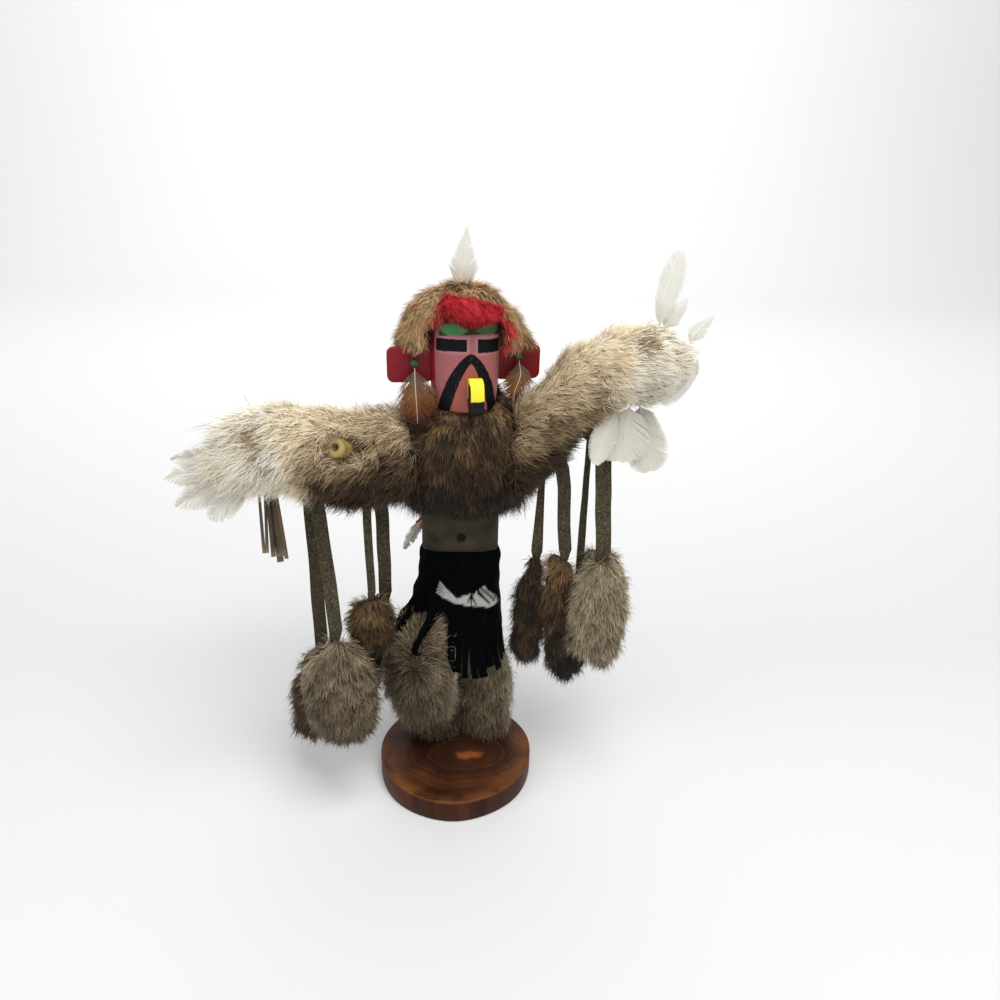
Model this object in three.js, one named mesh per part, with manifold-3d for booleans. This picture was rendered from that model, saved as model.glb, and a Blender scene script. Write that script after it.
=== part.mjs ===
// A winged kachina doll: a carved and painted bird dancer, dressed in rabbit fur, a black leather
// kilt and white feathers, on a slice of a branch. Its arms are wrapped in fur as wings, and fur
// tabs hang from them on folded suede thongs.
// Millimetres, +Z up, the mask towards -Y. Left and right are as seen from the front.
import * as THREE from 'three';
import { mergeVertices } from 'three/addons/utils/BufferGeometryUtils.js';
import Module from 'manifold-3d';

// ---- Driving dimensions --------------------------------------------------------------------
const GAP = 0.3; // clearance between pieces that touch

const BASE_RADIUS = 45;
const BASE_THICK = 14;

const WAIST = { x: 1.8, y: 6, wide: 20.6, deep: 15 }; // half width and half depth
const BODY_LOW = 104;
const BODY_TOP = 192;

const KILT_TOP = 148;
const KILT_HEM = 104;
const KILT_WALL = 1.3;
const KILT_FRINGE_LOW = 77;

const VEST_HEM = 178;
const VEST_TOP = 240;

const HEAD = { x: 3.1, y: -6, low: 232.4, high: 52, radius: 16.8 };
const HEAD_TURN = THREE.MathUtils.degToRad(9.6);
const EAR = { reach: 37, low: 243.4, high: 260.2, thick: 3.2, corner: 3.2 };

const THONG = { wide: 7, thick: 1.1 };

// ---- Materials -----------------------------------------------------------------------------
const finish = (color, roughness, metalness = 0) =>
  new THREE.MeshStandardMaterial({ color, roughness, metalness });

const OILED_WOOD = finish('#6b3f22', 0.45);
const PAINTED_BODY = finish('#a29a78', 0.7);
const MASK_PAINT = finish('#b5697a', 0.55);
const EAR_PAINT = finish('#9c1624', 0.45);
const BEAK_PAINT = finish('#e8d62c', 0.5);
const BARE_WOOD = finish('#b79a55', 0.6);
const BLACK_LEATHER = finish('#121315', 0.75);
const SUEDE = finish('#4f4a41', 0.9);
const BROWN_FUR = finish('#6d5440', 0.95);
const PALE_FUR = finish('#c6b391', 0.95);
const GREY_FUR = finish('#857563', 0.95);
const RED_FLUFF = finish('#c8132a', 0.95);
const WHITE_FEATHER = finish('#f0efe6', 0.7);
const TAWNY_FEATHER = finish('#8a5a34', 0.8);
const GREEN_GLASS = finish('#1f6a44', 0.2);
const RED_YARN = finish('#b32a3c', 0.9);

// ---- Joining and cutting -------------------------------------------------------------------
const wasm = await Module();
wasm.setup();

function solidOf(geometry) {
  const bare = geometry.clone();
  bare.deleteAttribute('normal');
  bare.deleteAttribute('uv');
  const welded = mergeVertices(bare, 1e-4);
  return new wasm.Manifold(new wasm.Mesh({
    numProp: 3,
    vertProperties: new Float32Array(welded.attributes.position.array),
    triVerts: new Uint32Array(welded.index.array),
  }));
}

function geometryOf(solid) {
  const { vertProperties, triVerts } = solid.getMesh();
  const geometry = new THREE.BufferGeometry();
  geometry.setAttribute('position', new THREE.BufferAttribute(vertProperties, 3));
  geometry.setIndex(new THREE.BufferAttribute(triVerts, 1));
  geometry.computeVertexNormals();
  return geometry;
}

const cut = (geometry, ...tools) =>
  geometryOf(tools.reduce((rest, tool) => rest.subtract(solidOf(tool)), solidOf(geometry)));

const join = (...geometries) =>
  geometryOf(geometries.map(solidOf).reduce((whole, next) => whole.add(next)));

// What is left of a piece once the slivers that a cut frees have dropped off.
function largest(geometry) {
  const bits = solidOf(geometry).decompose();
  return geometryOf(bits.reduce((best, bit) => (bit.volume() > best.volume() ? bit : best)));
}

function block(x0, x1, y0, y1, z0, z1) {
  const box = new THREE.BoxGeometry(x1 - x0, y1 - y0, z1 - z0);
  return box.translate((x0 + x1) / 2, (y0 + y1) / 2, (z0 + z1) / 2);
}

// ---- Sweeping ------------------------------------------------------------------------------
const vector = (point) => new THREE.Vector3(...point);

const smooth = (points) => new THREE.CatmullRomCurve3(points, false, 'catmullrom', 0.5);

// A closed surface of rings round a line, with a fan at each end. side is the direction of the
// outline's first axis, as a vector or as a function of the place along the line.
function sweep(line, places, side, outlineAt, reach = 0) {
  const corners = [];
  const facets = [];
  const count = outlineAt(places[0]).length;
  const addEnd = (t, way) =>
    corners.push(line.getPoint(t).addScaledVector(line.getTangent(t), way * reach));
  addEnd(0, -1);
  for (const t of places) {
    const along = line.getTangent(t);
    const across = (typeof side === 'function' ? side(t) : side).clone();
    across.addScaledVector(along, -across.dot(along)).normalize();
    const through = new THREE.Vector3().crossVectors(along, across);
    for (const [u, v] of outlineAt(t)) {
      corners.push(line.getPoint(t).addScaledVector(across, u).addScaledVector(through, v));
    }
  }
  addEnd(1, 1);
  const last = corners.length - 1;
  for (let j = 0; j < count; j += 1) {
    const next = (j + 1) % count;
    facets.push(0, 1 + next, 1 + j);
    for (let i = 0; i < places.length - 1; i += 1) {
      const near = 1 + i * count;
      const far = near + count;
      facets.push(near + j, near + next, far + next, near + j, far + next, far + j);
    }
    facets.push(last, last - count + j, last - count + next);
  }
  const geometry = new THREE.BufferGeometry().setFromPoints(corners);
  geometry.setIndex(facets);
  geometry.computeVertexNormals();
  return geometry;
}

// A soft form through its stations, each [x, y, z, half width, half depth]. start and end are the
// shares of its length over which it rounds off, 0 for a flat end; square above 2 fills its
// corners; tufts is the depth of the locks that run along it; grow makes a cutting tool of it.
function softForm(stations, options = {}) {
  const {
    rings = 12, sides = 14, side = new THREE.Vector3(1, 0, 0),
    start = 0.2, end = 0.2, square = 2, tufts = 0, grow = 0,
  } = options;
  const line = smooth(stations.map((s) => new THREE.Vector3(s[0], s[1], s[2])));
  const size = smooth(stations.map((s) => new THREE.Vector3(s[3], s[4], 0)));
  const before = start > 0 ? 1 : 0;
  const after = end > 0 ? 1 : 0;
  const places = Array.from({ length: rings }, (_, i) => {
    const u = (i + before) / (rings - 1 + before + after);
    return (1 - Math.cos(Math.PI * u)) / 2;
  });
  const dome = (t, share) => (share > 0 && t < share ? Math.sqrt(1 - (1 - t / share) ** 2) : 1);
  const lift = (value) => Math.sign(value) * Math.abs(value) ** (2 / square);
  const outlineAt = (t) => {
    const at = size.getPoint(t);
    const round = dome(t, start) * dome(1 - t, end);
    return Array.from({ length: sides }, (_, j) => {
      const angle = (2 * Math.PI * j) / sides;
      const lock = 1 + tufts * Math.sin(3 * angle + 11 * t) * Math.sin(5 * angle - 17 * t);
      return [
        (at.x * round * lock + grow) * lift(Math.cos(angle)),
        (at.y * round * lock + grow) * lift(Math.sin(angle)),
      ];
    });
  };
  return sweep(line, places, side, outlineAt, grow);
}

// A flat strip of leather through points. turn is how far it twists from start to end.
function strip(points, { wide, thick, steps = 10, facing = 0, turn = 0 }) {
  const line = smooth(points.map(vector));
  const side = (t) => new THREE.Vector3(Math.cos(facing + turn * t), Math.sin(facing + turn * t), 0);
  const outline = [[-wide, -thick], [wide, -thick], [wide, thick], [-wide, thick]]
    .map(([u, v]) => [u / 2, v / 2]);
  const places = Array.from({ length: steps + 1 }, (_, i) => i / steps);
  return sweep(line, places, side, () => outline);
}

// A feather with its quill along +Z and its face towards -Y: a vane that thins to its edges on
// both sides of a raised shaft. belly is where it is widest, point how sharp its tip is, bow how
// far it bends back and lean how far its tip swings to the side.
function feather({ length, wide, thick = 1.2, belly = 0.45, point = 1, bow = 0, lean = 0 }) {
  const quill = 0.1;
  const line = smooth([0, 0.33, 0.66, 1].map((t) =>
    new THREE.Vector3(lean * t * t, bow * t * t, length * t)));
  const spread = (t) => {
    const s = Math.max(0, (t - quill) / (1 - quill));
    const rise = Math.min(1, s / belly);
    const fall = Math.max(0, (s - belly) / (1 - belly));
    return Math.sin((Math.PI / 2) * rise) ** 0.7 * (1 - fall ** (3 - point)) ** point;
  };
  const places = [0, 0.12, 0.26, 0.42, 0.58, 0.74, 0.87, 0.95];
  return sweep(line, places, new THREE.Vector3(1, 0, 0), (t) => {
    const half = 0.6 + (wide / 2) * spread(t);
    const ridge = thick / 2;
    return [[-half, 0.15], [0, -ridge], [half, 0.15], [0, ridge]];
  });
}

// ---- Putting pieces in the scene -----------------------------------------------------------
const group = new THREE.Group();

function add(name, geometry, material, parent = group) {
  const mesh = new THREE.Mesh(geometry, material);
  mesh.name = name;
  parent.add(mesh);
  return mesh;
}

// Turns a feather so that its quill runs from root to tip with its face towards facing.
function aim(mesh, root, tip, facing = [0, -1, 0]) {
  const up = vector(tip).sub(vector(root)).normalize();
  const back = vector(facing).negate();
  back.addScaledVector(up, -back.dot(up)).normalize();
  const across = new THREE.Vector3().crossVectors(back, up);
  mesh.quaternion.setFromRotationMatrix(new THREE.Matrix4().makeBasis(across, back, up));
  mesh.position.copy(vector(root));
}

// ---- Base: a slice of a branch, not quite round, with its edges eased ------------------------
function base() {
  const ease = 1.2;
  const profile = [
    [0, 0], [BASE_RADIUS - ease, 0], [BASE_RADIUS, ease], [BASE_RADIUS, BASE_THICK - ease],
    [BASE_RADIUS - ease, BASE_THICK], [0, BASE_THICK],
  ].map(([r, z]) => new THREE.Vector2(r, z));
  const slice = new THREE.LatheGeometry(profile, 36).rotateX(Math.PI / 2);
  const place = slice.attributes.position;
  for (let i = 0; i < place.count; i += 1) {
    const angle = Math.atan2(place.getY(i), place.getX(i));
    const bark = 1 + 0.006 * Math.sin(3 * angle + 1) + 0.004 * Math.sin(7 * angle);
    place.setX(i, place.getX(i) * bark);
    place.setY(i, place.getY(i) * bark);
  }
  return slice;
}

// ---- Body: the carved waist, an oval post that runs up into the vest and down into the kilt --
function body(grow = 0) {
  const { x, y, wide, deep } = WAIST;
  return softForm([
    [x, y, BODY_LOW - grow, wide, deep], [x, y, 128, wide, deep],
    [x, y, 152, wide, deep], [x, y, BODY_TOP + grow, wide, deep],
  ], { rings: 2, sides: 24, start: 0, end: 0, square: 2.2, grow });
}

// ---- Kilt: one leather wrap, longer on the right, with its lower edge cut into fringe --------
const KILT_RINGS = [
  [1.8, 6, KILT_HEM - 8, 27.4, 19], [1.2, 5.6, KILT_HEM + 6, 25.4, 18.4],
  [1.6, 5.8, KILT_HEM + 20, 23, 17.2], [1.8, 6, KILT_TOP + 4, 22.3, 16.6],
];

// The three strips that lie over the raised thigh, from the wrap down.
const OVER_THIGH = [
  [[-14, -6.6, 128], [-15, -14.4, 116], [-15.4, -21, 106], [-15.4, -22.4, 97]],
  [[-19, -1.6, 127], [-22, -12.4, 114], [-24, -18.8, 106], [-24.6, -20.6, 97]],
  [[-20.6, 3.4, 126], [-26.2, -7.4, 118], [-28.8, -14.4, 110], [-29.8, -17, 103]],
];

const thighStrips = (grow = 0) => OVER_THIGH.map((route) =>
  strip(route, { wide: 4.4 + 2 * grow, thick: KILT_WALL + 2 * grow, steps: 4, facing: -0.3 }));

const kiltForm = (grow) =>
  softForm(KILT_RINGS, { rings: 4, sides: 20, start: 0, end: 0, square: 2.2, grow });

// The space above the sloping hem on the left, where the raised thigh lifts the leather.
function aboveThigh() {
  const wedge = new THREE.BoxGeometry(120, 120, 60);
  wedge.translate(0, 0, -30).rotateY(THREE.MathUtils.degToRad(20));
  return wedge.translate(6, 0, KILT_HEM + 1);
}

function kilt(grow = 0) {
  const trimTop = new THREE.BoxGeometry(90, 90, 30);
  trimTop.translate(0, 0, 15).rotateX(THREE.MathUtils.degToRad(-9));
  trimTop.translate(WAIST.x, WAIST.y, KILT_TOP);
  const hollow = kiltForm(-KILT_WALL - grow);
  let wrap = cut(kiltForm(grow), hollow, aboveThigh().translate(0, 0, -grow), trimTop);
  const { x, y } = WAIST;
  const [, , , wide, deep] = KILT_RINGS[1];
  const strips = 11;
  for (let i = 0; i < strips; i += 1) {
    const angle = THREE.MathUtils.degToRad(-100 + (i * 236) / (strips - 1));
    const out = [Math.cos(angle), Math.sin(angle)];
    const from = [x + out[0] * (wide - 0.5), y + out[1] * (deep - 0.5)];
    const low = KILT_FRINGE_LOW - 2 * Math.cos(5 * i);
    const tail = strip([
      [from[0] - out[0] * 1, from[1] - out[1] * 0.4, KILT_HEM + 12],
      [from[0] + out[0] * 1, from[1] + out[1] * 0.6, (KILT_HEM + low) / 2 + 4],
      [from[0] + out[0] * 1.6, from[1] + out[1] * 1, low],
    ], { wide: 7.4 + 2 * grow, thick: KILT_WALL + 2 * grow, steps: 2, facing: angle + Math.PI / 2 });
    wrap = join(wrap, tail);
  }
  wrap = join(wrap, ...thighStrips(grow));
  return wrap;
}

// ---- Legs in their fur leggings: the left knee lifted forward, the right leg straight ---------
const LEFT_LEG = [
  [-12, 2, 120, 10, 10], [-17.6, -2.6, 104, 15.4, 15], [-20.8, -4, 82, 19.2, 16.5],
  [-21, -1, 60, 20, 16.8], [-17, 7, 40, 15.6, 14], [-14.5, 14.5, 25, 13.6, 11.8],
  [-13.5, 18, BASE_THICK - 4, 13.4, 10.8],
];
const RIGHT_LEG = [
  [12, 10, 103, 10, 10], [13.6, 11.4, 88, 12.2, 12], [17.2, 13, 60, 16.6, 14.4],
  [17.4, 15.5, 38, 16.6, 13.4], [17.4, 18.5, BASE_THICK - 4, 15.4, 11.6],
];

const legging = (stations) =>
  softForm(stations, { rings: 10, sides: 14, end: 0, tufts: 0.09 });

// ---- Vest: a brown pelt wrapped round the chest, bulging over the waist -----------------------
const VEST = [
  [3, 0.6, VEST_HEM, 25, 20.5], [3.2, 0.2, VEST_HEM + 6, 31, 25.4], [4.4, -1, 198, 33.8, 28],
  [4.2, -2, 215, 33, 27.5], [3.6, -2.6, 230, 25.5, 22], [3.2, -4.6, VEST_TOP, 18.6, 18.4],
];

const vestForm = (grow) =>
  softForm(VEST, { rings: 9, sides: 18, start: 0, end: 0, tufts: 0.05, grow });

// ---- Wings: the arms wrapped in long fur, the left drooping, the right raised -----------------
const LEFT_WING = [
  [-16, -4, 205, 24, 20], [-31, -8, 206, 26, 20], [-48, -13, 204.5, 25.4, 20],
  [-66, -17, 208.6, 24.2, 19], [-83, -18, 213, 23, 17], [-98, -18, 209.5, 19.5, 13.5],
  [-109, -18, 203.5, 13.5, 10], [-118, -18, 199, 10, 7],
];
const RIGHT_WING = [
  [20, -5, 201, 24, 19], [33, -8, 213, 21.5, 18.5], [47, -11, 228.5, 18.6, 17.5],
  [60, -13, 244, 18.8, 17], [74, -14, 253, 20, 16.5], [89, -14, 256, 19.6, 15],
  [101, -14, 259, 14.5, 11], [112, -13, 262, 9, 7],
];

const wingForm = (stations, grow = 0) => softForm(stations, {
  rings: 13, sides: 15, side: new THREE.Vector3(0, 0, 1), start: 0, end: 0.16,
  tufts: 0.05, grow,
});

// ---- The left hand: the drilled end of the arm, looking out of the wing's fur -----------------
const HAND = { at: [-56.2, -38.4, 218], out: [-0.52, -0.84, 0.12], radius: 5.9, bore: 1.9, length: 20 };

function handPost(grow) {
  const { at, out, radius, bore, length } = HAND;
  const post = new THREE.CylinderGeometry(radius + grow, radius + grow, length + 2 * grow, 18);
  const away = vector(out).normalize();
  post.translate(0, -length / 2, 0);
  const turn = new THREE.Quaternion().setFromUnitVectors(new THREE.Vector3(0, 1, 0), away);
  if (grow > 0) {
    return post.applyQuaternion(turn).translate(...at);
  }
  const drill = new THREE.CylinderGeometry(bore, bore, 12, 12).translate(0, 0.5, 0);
  return cut(post, drill).applyQuaternion(turn).translate(...at);
}

// ---- Head: a turned mask, its tabs for ears and its hooked beak ------------------------------
const headPlace = new THREE.Matrix4()
  .makeRotationZ(HEAD_TURN)
  .setPosition(HEAD.x, HEAD.y, 0);

function headForm(grow = 0) {
  const { low, high, radius } = HEAD;
  const chin = radius - 1.2;
  const profile = [
    [0, -grow], [chin - 1 + grow, -grow], [chin + grow, 1], [radius - 0.4 + grow, 14],
    [radius + grow, 30], [radius - 0.6 + grow, 40], [12.5 + grow, 48.5], [6, high - 1 + grow],
    [0, high + grow],
  ].map(([r, z]) => new THREE.Vector2(r, z));
  return new THREE.LatheGeometry(profile, 24).rotateX(Math.PI / 2).translate(0, 0, low);
}

function ear(way) {
  const { reach, low, high, thick, corner } = EAR;
  const inner = HEAD.radius - 2;
  const tab = new THREE.Shape();
  tab.moveTo(inner, low);
  tab.lineTo(reach - corner, low);
  tab.quadraticCurveTo(reach, low, reach, low + corner);
  tab.lineTo(reach, high - corner);
  tab.quadraticCurveTo(reach, high, reach - corner, high);
  tab.lineTo(inner, high);
  tab.closePath();
  const plate = new THREE.ExtrudeGeometry(tab, { depth: thick, bevelEnabled: false, curveSegments: 4 });
  plate.rotateX(Math.PI / 2).translate(0, thick / 2, 0);
  return way > 0 ? plate : plate.rotateZ(Math.PI);
}

// The beak in side view: its back flat on the mask, its ridge curving out and down to a blunt tip.
function beak() {
  const wide = 6.6;
  const face = HEAD.radius - 0.2;
  const side = new THREE.Shape();
  side.moveTo(face, 238.8);
  side.lineTo(face, 250.8);
  side.lineTo(face + 3, 251.2);
  side.quadraticCurveTo(face + 7.6, 250.4, face + 8.2, 243);
  side.lineTo(face + 8.2, 237.5);
  side.quadraticCurveTo(face + 7.8, 233.6, face + 4.6, 233.4);
  side.closePath();
  const block = new THREE.ExtrudeGeometry(side, { depth: wide, bevelEnabled: false, curveSegments: 6 });
  return block.rotateX(Math.PI / 2).rotateZ(-Math.PI / 2).translate(1.4 + wide / 2, 0, 0);
}

// ---- Hair: a fur cap that flares over the ears and hangs to the nape -------------------------
const HAIR = [
  [2.6, 4, 243, 20, 17], [2.6, 2, 252, 31, 21], [2.6, -0.6, 261, 36, 22], [1.8, -1.2, 269.6, 31.6, 22.5],
  [1.6, -1.6, 278, 26, 21], [2.2, -2, 285.6, 19.4, 16.8], [2.2, -2, 291.6, 11, 9.6],
];

const hairForm = (grow = 0) =>
  softForm(HAIR, { rings: 9, sides: 17, start: 0.1, end: 0.12, tufts: 0.06, grow });

// The dyed fluff lies in an arc across the brow, higher on the left.
function foreheadFluff(grow = 0) {
  const stations = [[-50, 284.5, 5], [-22, 282.5, 6.6], [4, 279, 7.2], [30, 275.5, 6], [54, 272.5, 4]]
    .map(([degrees, z, half]) => {
      const angle = HEAD_TURN + THREE.MathUtils.degToRad(degrees);
      const out = HEAD.radius + 2.6;
      return [HEAD.x + out * Math.sin(angle), HEAD.y - out * Math.cos(angle), z, half, 3.6];
    });
  return softForm(stations, {
    rings: 8, sides: 9, side: new THREE.Vector3(0, 0, 1), start: 0.16, end: 0.16, grow,
  });
}

// ---- Fur tabs: a pelt folded on itself and gathered at the end of its thong ------------------
// Each is [top], [where it is fullest], [bottom], half width, half depth.
const TABS = {
  tab_left_outer_front: [[-62.4, -28, 115], [-61.8, -32.2, 84], [-59.6, -31, 45], 21.6, 12.4, 2.4],
  tab_left_outer_back: [[-74, -9, 97], [-81.5, -7, 56], [-83, -7, 27], 14.4, 8.5, 2.5],
  tab_left_inner_front: [[-44, -13.6, 129.5], [-45.8, -14, 113], [-46, -13.4, 92], 13.6, 7.6, 2.3],
  tab_left_inner_back: [[-38.6, -1.4, 123], [-48.6, 6, 88], [-48.5, 7, 50], 8, 6.5, 2.4],
  tab_right_inner_back: [[42, -6, 149.5], [39.6, -3.4, 100], [41, -3.5, 79], 10.6, 5.8, 2.2],
  tab_right_inner_front: [[57.2, -10, 153], [62.8, -8.6, 112], [66.4, -7.6, 70], 12.4, 5.6, 3],
  tab_right_outer_front: [[75.3, -20, 157], [74.4, -26.4, 122], [72.6, -26, 90], 16.6, 8.6, 2.5],
  tab_right_outer_back: [[66, -4, 151], [84.6, 4.4, 134], [84.4, 5, 101], 10.8, 6.4, 2.3],
};

function furTab([top, full, bottom, wide, deep, square]) {
  const between = (a, b, share) => a.map((value, i) => value + (b[i] - value) * share);
  return softForm([
    [...top, 4.2, 2.4], [...between(top, full, 0.4), wide * 0.82, deep * 0.85], [...full, wide, deep],
    [...between(full, bottom, 0.55), wide * 0.95, deep * 0.95], [...bottom, wide * 0.7, deep * 0.72],
  ], { rings: 8, sides: 11, start: 0.04, end: 0.14, square, tufts: 0.09 });
}

// ---- Thongs: each a suede strip hung by its middle from the arm, its ends sewn into two tabs --
const THONGS = {
  thong_left_outer: [[-74, -9, 97.6], [-74, -9.6, 150], [-74, -11, 184], [-71.6, -15.4, 191.6],
    [-69, -19.6, 184], [-65.5, -22, 147], [-62.4, -28, 115.6]],
  thong_left_inner: [[-44, -13.6, 130.4], [-44.4, -15, 150], [-44.8, -15.6, 180], [-42, -11.4, 187],
    [-39.2, -7, 180], [-38.6, -5.4, 150], [-38.6, -1.8, 123.6]],
  thong_right_inner: [[42, -6, 150.4], [42.6, -5, 168], [44, -5, 196], [48.6, -9, 208.6],
    [53.2, -12, 198], [55.4, -11.4, 172], [57.2, -10, 153.8]],
  thong_right_outer: [[66, -4, 154.4], [66.2, -4, 180], [66.4, -5, 220], [68.8, -11, 232],
    [71.6, -17, 220], [73.4, -18, 187], [75.3, -20, 157.6]],
};

// Strips on the left of the figure have their rooms cut from the left wing, and so on.
const thong = (points, grow = 0) => strip(points, {
  wide: THONG.wide + 2 * grow, thick: THONG.thick + 2 * grow, steps: 14, turn: 0.3,
});

const thongRooms = (side) => Object.entries(THONGS)
  .filter(([name]) => name.startsWith(`thong_${side}`))
  .map(([, points]) => thong(points, GAP));

// ---- Feathers --------------------------------------------------------------------------------
// Each is root, tip and the feather's own sizes.
const FEATHERS = {
  wing_feather_right_tall: [[93.4, -12, 270], [98.2, -12, 307.6],
    { wide: 11.4, belly: 0.62, point: 0.7, lean: 2 }],
  wing_feather_right_curled: [[96.6, -9, 268], [104, -6.6, 286.4], { wide: 8, belly: 0.4, lean: 4 }],
  wing_feather_right_pointed: [[99, -17, 257], [117.6, -15.6, 280.4],
    { wide: 11, belly: 0.35, point: 1.3, lean: 1 }],
  wing_feather_right_broad: [[92, -12.6, 255], [112, -12.6, 243], { wide: 26, belly: 0.66, point: 0.5 }],
  wing_feather_right_hanging_front: [[74, -22, 240], [66.2, -27, 208.6],
    { wide: 12, belly: 0.6, point: 0.9 }],
  wing_feather_right_hanging_middle: [[79, -20, 242], [80.6, -22.4, 208.4],
    { wide: 25, belly: 0.66, point: 0.6 }],
  wing_feather_right_hanging_back: [[86, -16, 242], [96, -18, 201.6],
    { wide: 20, belly: 0.72, point: 0.6 }],
  wing_feather_left_upper: [[-106, -14, 206], [-139, -14, 205], { wide: 12, belly: 0.45 }],
  wing_feather_left_middle: [[-106, -17.4, 203], [-142, -18, 196], { wide: 15, belly: 0.5 }],
  wing_feather_left_lower: [[-105, -20.8, 199], [-137, -22, 183], { wide: 15, belly: 0.5 }],
  wing_feather_left_downy: [[-101, -23.4, 196], [-120, -26, 178], { wide: 13, belly: 0.55, point: 0.7 }],
};

function placeFeather(name, root, tip, sizes, facing, material, around) {
  const length = vector(tip).distanceTo(vector(root));
  const mesh = add(name, feather({ length, ...sizes }), material);
  aim(mesh, root, tip, facing);
  if (around) {
    mesh.updateMatrix();
    mesh.geometry = cut(mesh.geometry, around.clone().applyMatrix4(mesh.matrix.clone().invert()));
  }
  return mesh;
}

// ---- Assembly, from the base up --------------------------------------------------------------
add('base', base(), OILED_WOOD);

const bodyRoom = body(GAP);
const floorRoom = block(-60, 60, -60, 60, -10, BASE_THICK + GAP);
const kiltRoom = kilt(GAP);
add('leg_left', largest(cut(legging(LEFT_LEG), bodyRoom, kiltRoom, floorRoom)), GREY_FUR);
add('leg_right', largest(cut(legging(RIGHT_LEG), bodyRoom, kiltRoom, floorRoom)), GREY_FUR);
add('body', body(), PAINTED_BODY);
add('kilt', kilt(), BLACK_LEATHER);

const headRoom = headForm(GAP).applyMatrix4(headPlace);
add('vest', cut(vestForm(0), bodyRoom, headRoom), BROWN_FUR);

const vestRoom = vestForm(GAP);
const leftWingRoom = wingForm(LEFT_WING, GAP);
const rightWingRoom = wingForm(RIGHT_WING, GAP);
add('wing_left', cut(wingForm(LEFT_WING), vestRoom, handPost(GAP), ...thongRooms('left')), PALE_FUR);
add('wing_right', cut(wingForm(RIGHT_WING), vestRoom, ...thongRooms('right')), PALE_FUR);
add('hand_left', handPost(0), BARE_WOOD);

const head = new THREE.Group();
head.applyMatrix4(headPlace);
group.add(head);
add('head', headForm(), MASK_PAINT, head);
const headSocket = headForm(GAP);
add('ear_left', cut(ear(-1), headSocket), EAR_PAINT, head);
add('ear_right', cut(ear(1), headSocket), EAR_PAINT, head);
add('beak', cut(beak(), headSocket), BEAK_PAINT, head);

const fluffRoom = foreheadFluff(GAP);
const belowEars = block(-60, 60, -60, 3, 200, EAR.high + GAP);
const faceOpening = block(HEAD.x - 16, HEAD.x + 17.5, -60, -9, 200, 275);
add('hair', cut(hairForm(), headRoom, vestRoom, fluffRoom, belowEars, faceOpening), BROWN_FUR);
add('forehead_fluff', cut(foreheadFluff(), headRoom), RED_FLUFF);

placeFeather('crest_feather', [1.6, -2, 287], [3.7, -2, 313.8],
  { wide: 12.6, belly: 0.34, point: 1 }, [0.1, -1, 0], WHITE_FEATHER, hairForm(GAP));

// ---- Ear pendants: a glass bead pinned to each ear over a tawny breast feather ----------------
for (const [side, across, beadAt, low] of [['left', -24.4, 254.3, 230.8], ['right', 25.2, 256.7, 237.6]]) {
  const bead = add(`bead_${side}`, new THREE.IcosahedronGeometry(1.8, 0), GREEN_GLASS, head);
  bead.position.set(across, -EAR.thick / 2 - 1.8 - GAP, beadAt);
  const root = new THREE.Vector3(across, -EAR.thick / 2 - 3, beadAt - 2.4).applyMatrix4(headPlace);
  const tip = [root.x + 1, root.y - 6.4, low];
  placeFeather(`ear_feather_${side}`, root.toArray(), tip,
    { wide: side === 'left' ? 20 : 15, thick: 2.4, belly: 0.5, point: 0.8 }, [0, -1, 0.1],
    TAWNY_FEATHER, rightWingRoom);
}

for (const [name, points] of Object.entries(THONGS)) {
  add(name, thong(points), SUEDE);
}
for (const [name, sizes] of Object.entries(TABS)) {
  add(name, furTab(sizes), name.includes('front') ? GREY_FUR : BROWN_FUR);
}

// ---- Wing feathers and the cut fringe at the left wing's end -----------------------------------
for (const [name, [root, tip, sizes]] of Object.entries(FEATHERS)) {
  const room = name.includes('left') ? leftWingRoom : rightWingRoom;
  placeFeather(name, root, tip, sizes, [0, -1, 0], WHITE_FEATHER, room);
}

function wingFringe() {
  const top = 194;
  let fringe = block(-99, -86, -18, -16, top - 8, top);
  const lengths = [40, 33, 38, 46, 41];
  lengths.forEach((length, i) => {
    const across = -97.6 + i * 2.6;
    fringe = join(fringe, strip([
      [across, -17, top - 4], [across + 0.4, -17 - (i % 2), top - length / 2],
      [across + 0.9, -17.6 - (i % 2), top - length],
    ], { wide: 2.2, thick: 1, steps: 3 }));
  });
  return cut(fringe, leftWingRoom);
}
add('wing_fringe', wingFringe(), BLACK_LEATHER);

// ---- Tail feather, tied with red yarn behind the left of the waist -----------------------------
const TAIL = { root: [-15.4, 19.6, 164.8], tip: [-30, 21, 137.6] };
const tieLength = 6.4;
const tie = add('tail_tie', new THREE.CylinderGeometry(1.7, 1.7, tieLength, 10), RED_YARN);
const away = vector(TAIL.tip).sub(vector(TAIL.root)).normalize();
tie.quaternion.setFromUnitVectors(new THREE.Vector3(0, -1, 0), away);
tie.position.copy(vector(TAIL.root).addScaledVector(away, tieLength / 2));
const featherRoot = vector(TAIL.root).addScaledVector(away, tieLength + GAP);
placeFeather('tail_feather', featherRoot.toArray(), TAIL.tip, { wide: 6, belly: 0.5 }, [0, -1, 0],
  WHITE_FEATHER);

export default group;
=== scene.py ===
import math

import bmesh
import bpy
import numpy as np
from mathutils import Matrix, Vector
from mathutils.bvhtree import BVHTree


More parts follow.
